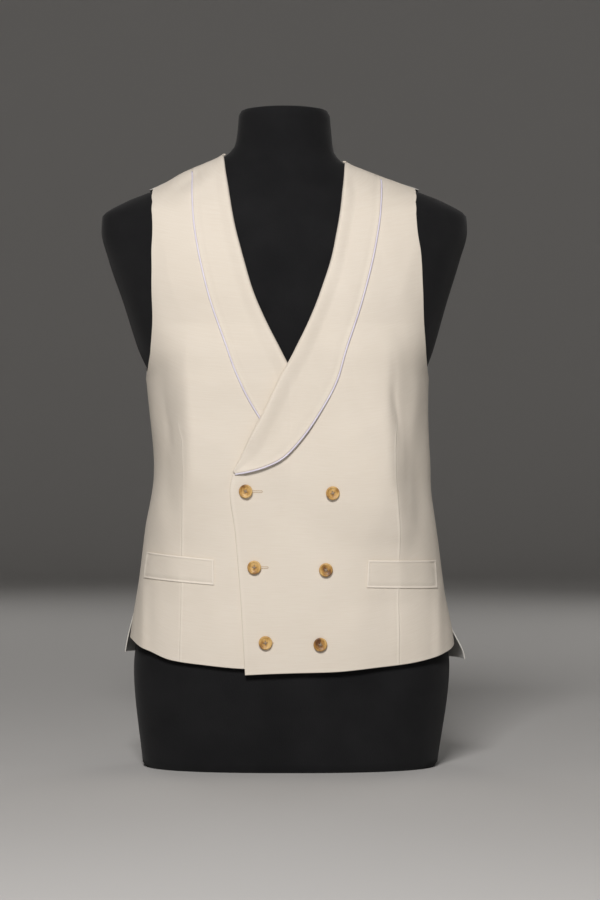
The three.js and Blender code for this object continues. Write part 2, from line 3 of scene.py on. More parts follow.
import bmesh
import bpy
import numpy as np
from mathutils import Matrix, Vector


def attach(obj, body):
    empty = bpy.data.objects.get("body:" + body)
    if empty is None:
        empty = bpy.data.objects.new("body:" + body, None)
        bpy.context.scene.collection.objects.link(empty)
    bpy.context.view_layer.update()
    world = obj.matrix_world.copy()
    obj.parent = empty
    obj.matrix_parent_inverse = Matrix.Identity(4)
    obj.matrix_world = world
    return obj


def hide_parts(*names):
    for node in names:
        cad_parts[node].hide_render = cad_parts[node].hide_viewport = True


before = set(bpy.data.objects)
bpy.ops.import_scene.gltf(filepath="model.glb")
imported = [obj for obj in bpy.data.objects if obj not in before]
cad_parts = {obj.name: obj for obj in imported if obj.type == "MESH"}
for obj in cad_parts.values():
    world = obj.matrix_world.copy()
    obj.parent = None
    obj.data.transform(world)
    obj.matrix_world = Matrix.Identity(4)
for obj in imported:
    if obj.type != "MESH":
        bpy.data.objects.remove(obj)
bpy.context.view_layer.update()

# Camera: level with the waist and square to the front, 3.5 m away, where a portrait lens
# shows the whole figure. Its height and side shift follow the framing of the figure.
CAMERA_DISTANCE = 3.5
CAMERA_HEIGHT = 0.381
CAMERA_SIDE = 0.0121
SENSOR_SIZE = 36
LENS_LENGTH = 115.6
bpy.ops.object.select_all(action="DESELECT")
bpy.ops.object.camera_add(
    location=(CAMERA_SIDE, -CAMERA_DISTANCE, CAMERA_HEIGHT), rotation=(math.pi / 2, 0, 0)
)
camera = bpy.context.object
camera.data.lens = LENS_LENGTH
camera.data.sensor_width = SENSOR_SIZE
camera.data.dof.use_dof = False
bpy.context.scene.camera = camera

# Dress form: a hard padded torso without limbs, covered in black cotton jersey that is pulled
# smooth and tacked under the flat base. The neck ends in a shallow cap of the same jersey.
MM = 0.001
SECTIONS = (
    ("z", "half", "front", "back", "side", "square", "lean", "ease"),
    (0, 184, 108, 112, 6, 2.5, 0, 6),
    (120, 197, 118, 120, 6, 2.5, 2, 6),
    (150, 194.3, 117, 117, 5, 2.5, 2.2, 6),
    (212, 184, 112, 109, 3, 2.5, 1, 5.5),
    (285, 174, 107, 99, 1, 2.5, 1, 5),
    (350, 165, 104, 93, 0, 2.5, 3, 4.5),
    (411, 165.7, 106, 95, 2, 2.5, 0, 3.8),
    (466, 169, 114, 104, 6, 2.5, -3, 3),
    (502, 181, 119, 108, 9, 2.5, -5, 2.2),
    (557, 197, 119, 111, 12, 2.4, -6, 1.4),
    (611, 215, 111, 110, 14, 2.3, -7, 1.6),
    (647, 224, 100, 104, 15, 2.15, -7, 1.6),
    (664, 223, 93, 99, 15, 2.1, -7, 1.6),
    (684, 193, 83, 90, 15, 2, -7, 1.6),
    (696, 162.5, 76, 83, 14, 1.95, -7, 1.6),
    (720, 112, 63, 69, 12, 1.9, -7, 1.6),
    (739, 72, 54, 60, 10, 1.95, -7, 1.6),
    (752, 61, 52, 55, 7, 2, -7, 1.6),
    (795, 56, 54, 50, 2, 2, -7, 1.6),
)
SHOULDER_SEAM = 83
NECK_DROP, NECK_SIDE, SHOULDER_END = 8.5, 63, 150
DROP_BEGINS, DROP_FADES = (600, 735), (745, 770)
NORMAL_TURN, NORMAL_RISE = 0.4, 0.6
FORM_TOP = 791
BASE_ROWS, FIRST_ROW, FORM_ROWS = (0, 1.2, 4), 10, 150
FORM_COLUMNS = 128
TUCK_DEPTH, BASE_ROUND, TOP_ROUND = 2.5, 4, 6
RING_REACH = 0.45
FORM_CAPS = (
    (0, ((0, 0.6), (0, 0.5))),
    (FORM_TOP, ((1.6, 0.93), (1.5, 0.82), (1.2, 0.55), (0.5, 0.3))),
)
FORM_COLOUR = (0.008, 0.0082, 0.009, 1)


def curve_through(keys, values):
    """A smooth curve through measured values that never swings past them."""
    at, value = np.array(keys, float), np.array(values, float)
    span = np.diff(at)
    rise = np.diff(value) / span
    slope = np.zeros_like(value)
    slope[0], slope[-1] = rise[0], rise[-1]
    for i in range(1, len(at) - 1):
        if rise[i - 1] * rise[i] > 0:
            weight, other = 2 * span[i] + span[i - 1], span[i] + 2 * span[i - 1]
            slope[i] = (weight + other) / (weight / rise[i - 1] + other / rise[i])

    def at_place(where):
        where = np.clip(np.asarray(where, float), at[0], at[-1])
        i = np.clip(np.searchsorted(at, where, side="right") - 1, 0, len(at) - 2)
        t = (where - at[i]) / span[i]
        start = value[i] * (2 * t**3 - 3 * t**2 + 1) + slope[i] * span[i] * (t**3 - 2 * t**2 + t)
        end = value[i + 1] * (3 * t**2 - 2 * t**3) + slope[i + 1] * span[i] * (t**3 - t**2)
        return start + end

    return at_place


def table_curves(table):
    """A smooth curve for each named column of a table, along its first column."""
    names, *rows = table
    return {
        name: curve_through([row[0] for row in rows], [row[k] for row in rows])
        for k, name in enumerate(names[1:], 1)
    }


body = table_curves(SECTIONS)


def ease_in(value, low, high):
    """0 below low, 1 above high, and smooth between."""
    t = np.clip((value - low) / (high - low), 0, 1)
    return t * t * (3 - 2 * t)


def neck_drop(x, z):
    """How much lower the left side of the neck and its shoulder sit than the right ones."""
    inwards = ease_in(x, 0, NECK_SIDE)
    outwards = 1 - np.clip((x - NECK_SIDE) / (SHOULDER_END - NECK_SIDE), 0, 1) ** 2
    level = ease_in(z, *DROP_BEGINS) * (1 - ease_in(z, *DROP_FADES))
    return NECK_DROP * inwards * outwards * level


def body_point(angle, z):
    """The cloth's inner face, in millimetres. Angles are in degrees from the middle front."""
    turn = np.radians(angle)
    depth = np.where(np.cos(turn) >= 0, body["front"](z), body["back"](z))
    power = body["square"](z)
    across = np.abs(np.sin(turn) / body["half"](z)) ** power
    along = np.abs(np.cos(turn) / depth) ** power
    radius = (across + along) ** (-1 / power)
    x = body["lean"](z) + radius * np.sin(turn)
    y = body["side"](z) - radius * np.cos(turn)
    return np.stack([x, y, z - neck_drop(x, z)], axis=-1)


def off_body(angle, z, out):
    """The same face moved out along its normal."""
    around = body_point(angle + NORMAL_TURN, z) - body_point(angle - NORMAL_TURN, z)
    up = body_point(angle, z + NORMAL_RISE) - body_point(angle, z - NORMAL_RISE)
    normal = np.cross(around, up)
    normal /= np.linalg.norm(normal, axis=-1, keepdims=True)
    return body_point(angle, z) + normal * np.asarray(out)[..., None]


def front_angle(x, z):
    """The angle at which the front of the body shows a given X at a given height."""
    across = x - body["lean"](z)
    share = np.minimum(np.abs(across) / body["half"](z), 1)
    power = body["square"](z)
    depth = body["front"](z) * (1 - share**power) ** (1 / power)
    return np.clip(np.degrees(np.arctan2(across, depth)), -SHOULDER_SEAM, SHOULDER_SEAM)


def mix(start, end, share):
    return start + (end - start) * share


def grid_object(name, points):
    """A primitive grid whose points are set to a table of places in millimetres."""
    rows, columns = points.shape[:2]
    bpy.ops.object.select_all(action="DESELECT")
    bpy.ops.mesh.primitive_grid_add(x_subdivisions=columns - 1, y_subdivisions=rows - 1, size=2)
    made = bpy.context.object
    made.name = made.data.name = name
    flat = np.empty(3 * len(made.data.vertices))
    made.data.vertices.foreach_get("co", flat)
    flat = flat.reshape(-1, 3)
    i = np.rint((flat[:, 1] + 1) / 2 * (rows - 1)).astype(int)
    j = np.rint((flat[:, 0] + 1) / 2 * (columns - 1)).astype(int)
    made.data.vertices.foreach_set("co", (points[i, j] * MM).ravel())
    made.data.update()
    return made, i, j


def select_only(made):
    bpy.ops.object.select_all(action="DESELECT")
    made.select_set(True)
    bpy.context.view_layer.objects.active = made


def in_edit_mode(made):
    select_only(made)
    bpy.ops.object.mode_set(mode="EDIT")
    bpy.ops.mesh.select_mode(type="VERT")


def apply_modifiers(made):
    select_only(made)
    for modifier in list(made.modifiers):
        bpy.ops.object.modifier_apply(modifier=modifier.name)


def extrude_ring(rise, ratio, middle=(0, 0, 0)):
    """Draws the selected ring up by a height, and in or out from the middle by a ratio."""
    bpy.ops.mesh.extrude_region_move(TRANSFORM_OT_translate={"value": (0, 0, rise)})
    bpy.ops.transform.resize(value=(ratio, ratio, 1), center_override=middle)


def face_outwards():
    """Turns the faces of the mesh in edit mode outwards, and leaves edit mode."""
    bpy.ops.mesh.select_all(action="SELECT")
    bpy.ops.mesh.normals_make_consistent(inside=False)
    bpy.ops.object.mode_set(mode="OBJECT")


def shade_smooth(made, angle=None):
    select_only(made)
    if angle is None:
        bpy.ops.object.shade_smooth()
    else:
        bpy.ops.object.shade_smooth_by_angle(angle=math.radians(angle))


def new_material(name, **settings):
    """A material with one Principled shader, whose plain numbers are set on its own sockets."""
    made = bpy.data.materials.new(name)
    made.use_nodes = True
    shader = made.node_tree.nodes["Principled BSDF"]
    for socket, value in settings.items():
        shader.inputs[socket.replace("_", " ")].default_value = value
    return made, made.node_tree.nodes, made.node_tree.links, shader


def add_node(nodes, kind, **inputs):
    made = nodes.new(kind)
    for socket, value in inputs.items():
        made.inputs[socket.replace("_", " ")].default_value = value
    return made


def finish_piece(made, material, node=None):
    """Gives a finished piece its material and body, and hides the plain solid that it replaces."""
    made.data.materials.append(material)
    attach(made, "root")
    if node:
        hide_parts(node)


def add_noise(nodes, links, vector, scale, stretch=(1, 1, 1), detail=3, roughness=0.5):
    """Noise on a coordinate that is multiplied first: a larger stretch gives finer noise."""
    mapping = add_node(nodes, "ShaderNodeMapping", Scale=stretch)
    noise = add_node(nodes, "ShaderNodeTexNoise", Scale=scale, Detail=detail, Roughness=roughness)
    links.new(vector, mapping.inputs["Vector"])
    links.new(mapping.outputs["Vector"], noise.inputs["Vector"])
    return noise.outputs["Fac"]


def add_ramp(nodes, links, value, stops):
    ramp = nodes.new("ShaderNodeValToRGB")
    while len(ramp.color_ramp.elements) < len(stops):
        ramp.color_ramp.elements.new(0.5)
    for element, (place, colour) in zip(ramp.color_ramp.elements, stops):
        element.position = place
        element.color = colour
    links.new(value, ramp.inputs["Fac"])
    return ramp.outputs["Color"]


def colour_by(nodes, links, shader, value, stops):
    links.new(add_ramp(nodes, links, value, stops), shader.inputs["Base Color"])


def add_math(nodes, links, operation, first, second):
    made = nodes.new("ShaderNodeMath")
    made.operation = operation
    for socket, value in zip(made.inputs, (first, second)):
        if isinstance(value, (int, float)):
            socket.default_value = value
        else:
            links.new(value, socket)
    return made.outputs["Value"]


def add_bump(nodes, links, shader, height, distance, strength):
    bump = add_node(nodes, "ShaderNodeBump", Distance=distance, Strength=strength)
    links.new(height, bump.inputs["Height"])
    links.new(bump.outputs["Normal"], shader.inputs["Normal"])


heights = np.concatenate([BASE_ROWS, np.linspace(FIRST_ROW, FORM_TOP, FORM_ROWS)])
angles = np.linspace(0, 360, FORM_COLUMNS + 1)
angle_grid, height_grid = np.meshgrid(angles, heights)
base_tuck = TUCK_DEPTH * (1 - ease_in(height_grid, 0, BASE_ROUND))
top_tuck = TUCK_DEPTH * ease_in(height_grid, FORM_TOP - TOP_ROUND, FORM_TOP)
inset = body["ease"](height_grid) + (base_tuck + top_tuck)
form_points = off_body(angle_grid, height_grid, -inset)
form_points[0, :, 2], form_points[-1, :, 2] = 0, FORM_TOP
dress_form, _, _ = grid_object("dress_form_jersey", form_points)
in_edit_mode(dress_form)
bpy.ops.mesh.select_all(action="SELECT")
bpy.ops.mesh.remove_doubles(threshold=0.0001)
for level, steps in FORM_CAPS:
    bpy.ops.mesh.select_all(action="DESELECT")
    ring = bmesh.from_edit_mesh(dress_form.data)
    for vertex in ring.verts:
        vertex.select = abs(vertex.co.z / MM - level) < RING_REACH
    ring.select_flush(True)
    bmesh.update_edit_mesh(dress_form.data)
    bpy.ops.mesh.edge_face_add()
    middle = (body["lean"](level) * MM, body["side"](level) * MM, level * MM)
    for rise, shrink in steps:
        extrude_ring(rise * MM, shrink, middle)
face_outwards()
shade_smooth(dress_form, 50)

jersey, nodes, links, shader = new_material(
    "black_jersey", Base_Color=FORM_COLOUR, Roughness=0.95, Sheen_Weight=0.04, Sheen_Roughness=0.5,
    Specular_IOR_Level=0.2
)
place = nodes.new("ShaderNodeTexCoord").outputs["Object"]
ribs = add_noise(nodes, links, place, 900, stretch=(1, 1, 0.35), detail=2)
pile = add_noise(nodes, links, place, 14, detail=4)
blacks = ((0.3, (0.006, 0.0062, 0.007, 1)), (0.75, (0.012, 0.0122, 0.0132, 1)))
colour_by(nodes, links, shader, pile, blacks)
add_bump(nodes, links, shader, ribs, 0.0004, 0.5)
finish_piece(dress_form, jersey, "dress_form")

# Back: two panels of ivory satin, joined down the centre and to the fronts at the sides and
# shoulders. Under each side seam a short vent lets the corners spring away from the hips.
SIDES = ("left", "right")
SIDE_SEAM = 88
BACK_CLOTH = 1.4
BACK_WIDTH, BACK_LENGTH = 280, 640
BACK_HEM, BACK_NECK = 125, 728
NECK_POINT, SHOULDER_TIP, UNDERARM = 739, 696, 466
NECK_SHARE, ARM_SHARE, ARM_SPACING = 0.84, 0.54, 0.93
SEAM_GAP, CENTRE_GAP_TURN = 0.35, 0.08
PUCKER_HEIGHT, PUCKER_REACH, PUCKER_PITCH = 0.25, 9, 3.1
DEEPEST_TROUGH = -0.3
VENTS = {
    "left": {"top": 172, "hem": 127, "flare": 12},
    "right": {"top": 200, "hem": 136, "flare": 5},
}
VENT_WIDTH = 34
BACK_FOLD_START, BACK_FOLD_FULL = 100, 125
FOLD_BEND = 0.0016
CLOTH_STEP = 3.4
EDGE_ROUNDING = 0.9
ROUND_EDGE_PLACES = (0, 0.2, 0.5, 0.95, 1.5, 2.2)
THIN_EDGE, FULL_CLOTH = 0.14, 0.999
THREAD_TILT = 0.6
ARMHOLE_ANGLES = (
    ("z", "left", "right", "back"),
    (151, 88, 88, 88),
    (466, 88, 88, 88),
    (469, 83, 82, 91),
    (474, 79, 77, 94.5),
    (482, 75, 72.5, 98.5),
    (500, 69.8, 66.4, 106),
    (545, 65.3, 62.4, 111.5),
    (590, 63.7, 61.5, 114),
    (625, 63.8, 62.6, 115),
    (661, 66.2, 66.1, 113.5),
    (675, 69.3, 69.3, 109),
    (682, 72.4, 72.4, 107.5),
    (688, 75.6, 75.6, 104.5),
    (692, 79, 79, 101),
    (695, 82.1, 82.1, 95),
    (696, 83, 83, 83),
)
BACK_FOLDS = (
    ("x", "z", "half_length", "half_width", "height", "tilt"),
    (70, 400, 95, 16, 2.2, 4),
    (-76, 390, 90, 16, 2, -5),
    (25, 300, 70, 13, 1.6, -3),
    (-30, 310, 75, 13, 1.5, 3),
    (120, 520, 60, 15, 1.8, 24),
    (-124, 515, 62, 15, 1.8, -24),
    (48, 455, 60, 7, 0.9, 10),
    (-52, 440, 66, 7, 0.8, -8),
    (96, 350, 50, 6, 0.7, 8),
    (-104, 340, 46, 6, 0.7, -9),
    (8, 390, 60, 6, -0.7, 2),
    (130, 600, 40, 9, 0.9, 35),
    (-134, 604, 42, 9, 0.9, -35),
)
armhole = table_curves(ARMHOLE_ANGLES)


def soft_ridge(distance, width):
    """1 on a line and smooth down to 0 at both sides of it."""
    return np.exp(-((distance / width) ** 2))


def fold_height(folds, x, z):
    """The height of listed soft ridges and troughs at a place, in millimetres."""
    height = 0 * x
    for fold_x, fold_z, half_length, half_width, rise, tilt in folds[1:]:
        turn = math.radians(tilt)
        along = (z - fold_z) * math.cos(turn) + (x - fold_x) * math.sin(turn)
        across = (x - fold_x) * math.cos(turn) - (z - fold_z) * math.sin(turn)
        bend = across + FOLD_BEND * along * along * np.sign(fold_x)
        height = height + rise * np.exp(-((along / half_length) ** 2) - (bend / half_width) ** 2)
    return height


def cloth_life(x, z, seed):
    """Slight unevenness that any worn cloth has, in millimetres."""
    wave = np.sin(x / 17 + seed) * np.sin(z / 41 + 1.7 * seed + x / 90)
    wave = wave + 0.6 * np.sin(x / 9.5 - z / 55 + 2.3 * seed) * np.sin(z / 27 + seed)
    return 0.22 * wave + 0.1 * np.sin(x / 5.3 + z / 19 + 3.1 * seed)


def spaced(length, step, fine_ends=(True, True)):
    """Places from 0 to 1 along a length, closer together at ends that are to be rounded."""
    fine = np.array(ROUND_EDGE_PLACES)
    start = fine if fine_ends[0] else np.array([0.0])
    end = length - fine[::-1] if fine_ends[1] else np.array([length])
    count = max(int((end[0] - start[-1]) / step), 1)
    middle = np.linspace(start[-1], end[0], count + 1)[1:-1]
    return np.concatenate([start, middle, end]) / length


def border_distances(points):
    """How far each place of a grid is from its four borders, along the cloth."""
    across = np.linalg.norm(np.diff(points, axis=1), axis=-1)
    upward = np.linalg.norm(np.diff(points, axis=0), axis=-1)
    zero_column, zero_row = np.zeros((points.shape[0], 1)), np.zeros((1, points.shape[1]))
    from_left = np.hstack([zero_column, np.cumsum(across, axis=1)])
    from_bottom = np.vstack([zero_row, np.cumsum(upward, axis=0)])
    return from_left, from_left[:, -1:] - from_left, from_bottom, from_bottom[-1:] - from_bottom


def cloth_shell(name, points, thickness, rounding, painted_highlight=None):
    """A sheet of cloth round its middle surface, with round edges and a UV map in metres."""
    distances = border_distances(points)
    along = distances[0]
    edge_share = np.clip(np.min(distances, axis=0) / rounding, 0, 1)
    fullness = np.maximum(np.sqrt(1 - (1 - edge_share) ** 2), THIN_EDGE)
    made, i, j = grid_object(name, points)
    # Painted highlight: a per-point mask stored on the mesh, which the cream material uses to paint
    # the cloth lighter.
    if painted_highlight is not None:
        layer = made.data.attributes.new("painted_highlight", "FLOAT", "POINT")
        layer.data.foreach_set("value", painted_highlight[i, j])
    cross = np.cross(points[1, 1] - points[1, 0], points[2, 1] - points[1, 1])
    if np.dot(cross, points[1, 1] - [0, 0, points[1, 1, 2]]) < 0:
        made.data.flip_normals()
    warp = points[..., 2] - THREAD_TILT * points[..., 1]
    threads = np.stack([points[:, :1, 0] + along, warp], axis=-1)
    corner_vertices = np.empty(len(made.data.loops), int)
    made.data.loops.foreach_get("vertex_index", corner_vertices)
    uv = threads[i[corner_vertices], j[corner_vertices]] * MM
    made.data.uv_layers[0].data.foreach_set("uv", uv.ravel())
    group = made.vertex_groups.new(name="fullness")
    weights = fullness[i, j]
    full = np.flatnonzero(weights > FULL_CLOTH)
    group.add(full.tolist(), 1.0, "REPLACE")
    for k in np.flatnonzero(weights <= FULL_CLOTH):
        group.add([int(k)], float(weights[k]), "REPLACE")
    solid = made.modifiers.new("thickness", "SOLIDIFY")
    solid.thickness = thickness * MM
    solid.offset = 0
    solid.vertex_group = "fullness"
    solid.use_quality_normals = True
    apply_modifiers(made)
    made.vertex_groups.clear()
    shade_smooth(made)
    return made


def finish_cloth(made, material, node):
    finish_piece(made, material, node)


satin, nodes, links, shader = new_material(
    "ivory_satin", Base_Color=(0.68, 0.66, 0.6, 1), Roughness=0.42, Sheen_Weight=0.25,
    Sheen_Roughness=0.35, Specular_IOR_Level=0.45
)
uv = nodes.new("ShaderNodeTexCoord").outputs["UV"]
floats = add_noise(nodes, links, uv, 1, stretch=(2600, 90, 1), detail=2)
shade = add_noise(nodes, links, uv, 9, detail=3)
ivories = ((0.3, (0.62, 0.6, 0.545, 1)), (0.7, (0.71, 0.69, 0.635, 1)))
colour_by(nodes, links, shader, shade, ivories)
add_bump(nodes, links, shader, floats, 0.00012, 0.35)


def seam_turn(z):
    """The gap at a seam, as an angle round the body."""
    return np.degrees(SEAM_GAP / body["half"](z))


def back_points(side):
    sign = 1 if side == "left" else -1
    vent = VENTS[side]
    u, v = np.meshgrid(spaced(BACK_WIDTH, CLOTH_STEP), spaced(BACK_LENGTH, CLOTH_STEP))
    neck_share = np.clip((v - NECK_SHARE) / (1 - NECK_SHARE), 0, 1)
    seam_z = mix(BACK_HEM, BACK_NECK, v / NECK_SHARE)
    neck_z = mix(BACK_NECK, NECK_POINT, neck_share**2)
    middle_z = np.where(v <= NECK_SHARE, seam_z, neck_z)
    arm_share = np.clip((v - ARM_SHARE) / (1 - ARM_SHARE), 0, 1) ** ARM_SPACING
    below_arm_z = mix(vent["hem"], UNDERARM, v / ARM_SHARE)
    arm_z = mix(UNDERARM, SHOULDER_TIP, arm_share)
    side_z = np.where(v <= ARM_SHARE, below_arm_z, arm_z)
    shoulder_angle = SHOULDER_SEAM + seam_turn(middle_z)
    middle_angle = mix(180 - CENTRE_GAP_TURN, shoulder_angle, neck_share)
    side_angle = armhole["back"](side_z) + seam_turn(side_z)
    angle = sign * mix(middle_angle, side_angle, u)
    z = mix(middle_z, side_z, u)
    place = body_point(angle, z)
    sprung = 1 - ease_in(z, vent["hem"], vent["top"])
    sprung = sprung * (1 - ease_in(np.abs(angle) - SIDE_SEAM, 0, VENT_WIDTH))
    behind = ease_in(np.abs(angle), BACK_FOLD_START, BACK_FOLD_FULL)
    seam_distance = (180 - np.abs(angle)) * np.radians(1) * body["back"](z)
    pucker = PUCKER_HEIGHT * np.exp(-seam_distance / PUCKER_REACH)
    pucker = pucker * np.sin(z / PUCKER_PITCH + 0.7 * sign)
    folds = fold_height(BACK_FOLDS, place[..., 0], z) + 2 * cloth_life(place[..., 0], z, 4 + sign)
    relief = behind * np.maximum(folds + pucker, DEEPEST_TROUGH)
    return off_body(angle, z, BACK_CLOTH / 2 + vent["flare"] * sprung + relief)


for side in SIDES:
    points = back_points(side)
    panel = cloth_shell("back_panel_" + side, points, BACK_CLOTH, EDGE_ROUNDING)
    finish_cloth(panel, satin, "back_" + side)

# Fronts: cream cloth, each cut in one with a long dart from the chest to the hem. The left
# one laps over the right one. Their edges are turned, faced and pressed to a soft round.
# Along the edge stitch, hem, armholes and dart seam the cloth's colour is painted lighter: painted
# highlight.
FRONT_CLOTH = 2
FRONT_BOTTOM, SIDE_HEM = 118, 151
EDGE_LINE = (
    ("z", "left", "right"),
    (118, -52, 52),
    (200, -57, 57),
    (280, -63, 63),
    (332, -68, 68),
    (353, -64.5, 64.5),
    (358, -61.9, 62),
    (372, -54.5, 55),
    (416, -31.5, 35),
    (463, -9.7, 5),
    (498, 9.5, -14),
    (533, 26, -31.5),
    (569, 40, -46.5),
    (605, 51.4, -57),
    (641, 58.4, -66.5),
    (672, 63, -72.5),
    (703, 65.5, -77),
    (739, 67, -81),
)
HEM_LINE = (
    ("reach", "left", "right"),
    (-60, 116.5, 123),
    (-25, 118.3, 123),
    (0, 119.2, 123),
    (50, 120.5, 124),
    (100, 125, 128),
    (140, 129, 133),
    (165, 133.5, 142),
    (180, 138, 148),
    (190, 142, 154),
    (200, 149, 157),
)
DART_LINE = (
    ("z", "left", "right"),
    (118, 128, -129),
    (262, 125.5, -124.5),
    (322, 117.8, -119),
    (350, 116.2, -117.5),
    (391, 117.5, -118.5),
    (411, 120, -123.5),
    (560, 124, -132),
    (712, 120, -134),
)
LAPEL_EDGE = (
    ("left_x", "left_z", "right_x", "right_z"),
    (108, 714, -116.5, 718),
    (109, 700, -115.8, 699),
    (107.5, 670, -114.5, 666),
    (102.8, 634, -110, 630),
    (95, 596, -99, 580),
    (80, 542, -89, 546),
    (64, 495, -74, 505),
    (54, 463, -58, 464),
    (39, 434, -42, 432),
    (19, 401, -24, 404),
    (-7, 372, 7, 373),
    (-28, 361, 28, 361),
    (-48, 355, 48, 355),
    (-62, 352.5, 62, 352.5),
)
LOWER_LAPEL = 7
PLANE_BREAK = (
    ("z", "left_x", "left_height", "right_x", "right_height"),
    (200, 126, 0, -127, 0),
    (262, 124, 8, -124, 4.5),
    (290, 121, 15, -121.5, 9),
    (320, 115, 19, -114.5, 14.5),
    (350, 108.5, 19.5, -109, 18.5),
    (391, 107.5, 17.5, -107.5, 19),
    (450, 109, 12.5, -111.5, 15.5),
    (490, 112.5, 7, -118, 8),
    (530, 116, 0, -120, 0),
)
BREAK_INNER_REACH, BREAK_OUTER_REACH = 110, 46
BREAK_INNER_POWER, BREAK_OUTER_POWER = 1.1, 1.6
BREAK_ROUND = 7
FRONT_WIDTH, FRONT_LENGTH = 330, 630
EDGE_TO_DART, DART_TO_SIDE, DART_SHARE = 195, 120, 0.625
DART_COLUMNS = (-3.2, -2.2, -1.4, -0.8, -0.35, 0, 0.35, 0.8, 1.4, 2.2, 3.2)
DART_CLEAR = 0.012
DART_TOP, DART_RISE, DART_DEPTH, DART_WIDTH = 411, 0.42, 0.2, 0.7
DART_FADE = (DART_TOP - 6, DART_TOP + 10)
TURNING_RISE, TURNING_PLACE, TURNING_WIDTH, TURNING_FADE = 0.16, 3.8, 1.2, (205, 222)
DART_PUCKER, DART_PUCKER_REACH = 0.1, 6
EDGE_STITCH, STITCH_WIDTH, STITCH_RISE = 3, 0.8, 0.14
STITCH_TROUGH, TROUGH_DEPTH = EDGE_STITCH + 1.6, 0.1
HEM_RIM, ARMHOLE_RIM = 1, 0.9
# Strengths of the painted highlight along the edge stitch, the hem and armhole rims, and the dart
# seam, which is stronger towards its top.
STITCH_HIGHLIGHT, RIM_HIGHLIGHT = 0.45, 0.8
DART_HIGHLIGHT, DART_HIGHLIGHT_ADDED, DART_HIGHLIGHT_RISE = 0.3, 0.6, (352, 376)
LAP_MARGIN, LAP_FADE = 17, 62
LAP_STEPS = (2.5, 3.1)
EDGE_SLOPE, LAPEL_SLOPE = 0.9, 0.72
HEM_REACH = 0.25
CREST_ROUND, CREASE_HELD = 0.006, 0.6
CREASES = (
    ("x", "z", "half_length", "half_width", "height"),
    (128, 190, 58, 16, 0.7),
    (175.5, 175, 54, 8, 1.5),
    (-129, 190, 58, 16, 0.7),
    (-173, 178, 54, 8, 1.5),
)
FRONT_FOLDS = (
    ("x", "z", "half_length", "half_width", "height", "tilt"),
    (-127, 714, 24, 8, 1.2, 52),
    (-108, 692, 26, 9, 1.4, 52),
    (-118, 705, 24, 4.5, -1.1, 52),
    (146, 440, 50, 10, 1.8, 4),
    (-163, 432, 40, 10, 1.8, -6),
    (-150, 320, 60, 14, 1.4, -3),
    (117, 448, 50, 5, -0.8, 5),
    (134, 380, 60, 6, -0.7, -2),
    (-142, 420, 40, 5, -0.7, -10),
    (96, 300, 60, 16, 0.6, 14),
    (-100, 300, 55, 15, 0.5, -12),
    (70, 395, 40, 12, 0.5, 62),
    (-84, 390, 34, 10, 0.5, -58),
    (80, 185, 40, 18, 0.6, 20),
    (-90, 185, 36, 16, 0.5, -22),
    (140, 590, 44, 8, 0.6, 16),
    (-142, 585, 40, 8, 0.5, -14),
    (150, 325, 55, 13, -2.6, 0),
    (120, 425, 32, 5, -2, -7),
    (-140, 385, 50, 6, -0.6, 3),
    (-66, 345, 12, 5, -1.5, 20),
    (-168, 400, 40, 4, -0.8, -4),
)
edge_x, hem_height, dart_x, break_at = (
    table_curves(table) for table in (EDGE_LINE, HEM_LINE, DART_LINE, PLANE_BREAK)
)
lower_lapel = LAPEL_EDGE[LOWER_LAPEL:]
lapel_floor = curve_through([row[2] for row in lower_lapel], [row[3] for row in lower_lapel])


def lap_lift(x, z):
    """How far the left front is lifted by the right front and the right lapel under it."""
    past_edge = (x - edge_x["right"](z)) * EDGE_SLOPE
    below_lapel = (lapel_floor(x) - z) * LAPEL_SLOPE
    over_front = 1 - ease_in(past_edge, LAP_MARGIN, LAP_FADE)
    over_lapel = 1 - ease_in(np.maximum(past_edge, below_lapel), LAP_MARGIN, LAP_FADE)
    return LAP_STEPS[0] * over_front + LAP_STEPS[1] * over_lapel


def crease_height(x, z):
    """Pressed crests, sharp along the top, that divide the cloth into flatter faces."""
    height = 0 * x
    for crease_x, crease_z, half_length, half_width, rise in CREASES[1:]:
        crest = 1 - np.sqrt(((x - crease_x) / half_width) ** 2 + CREST_ROUND)
        fade = 1 - ease_in(np.abs(z - crease_z), CREASE_HELD * half_length, half_length)
        height = height + rise * np.maximum(crest, 0) * fade
    return height


def plane_break(x, z):
    """The ridge along the darts, where the front breaks into the plane of the side."""
    past_break = np.where(x < 0, break_at["right_x"](z) - x, x - break_at["left_x"](z))
    inner = np.maximum(0, 1 + past_break / BREAK_INNER_REACH) ** BREAK_INNER_POWER
    outward = np.hypot(np.maximum(past_break, 0), BREAK_ROUND) - BREAK_ROUND
    outer = np.maximum(0, 1 - outward / BREAK_OUTER_REACH) ** BREAK_OUTER_POWER
    height = np.where(x < 0, break_at["right_height"](z), break_at["left_height"](z))
    return height * np.where(past_break < 0, inner, outer)


def front_base(side, angle, z):
    """The inner face of a front at a place, measured out of the body."""
    x = body_point(angle, z)[..., 0]
    lift = lap_lift(x, z) if side == "left" else 0
    seed = 1 if side == "left" else 2.6
    shape = fold_height(FRONT_FOLDS, x, z) + crease_height(x, z) + plane_break(x, z)
    return lift + shape + cloth_life(x, z, seed)


def front_columns():
    """The columns of a front from its edge to its side, close together along the dart."""
    before = DART_SHARE * spaced(EDGE_TO_DART, CLOTH_STEP, (True, False))
    after = DART_SHARE + (1 - DART_SHARE) * spaced(DART_TO_SIDE, CLOTH_STEP, (False, True))
    before, after = before[before < DART_SHARE - DART_CLEAR], after[after > DART_SHARE + DART_CLEAR]
    return np.concatenate([before, DART_SHARE + np.array(DART_COLUMNS) / FRONT_WIDTH, after])


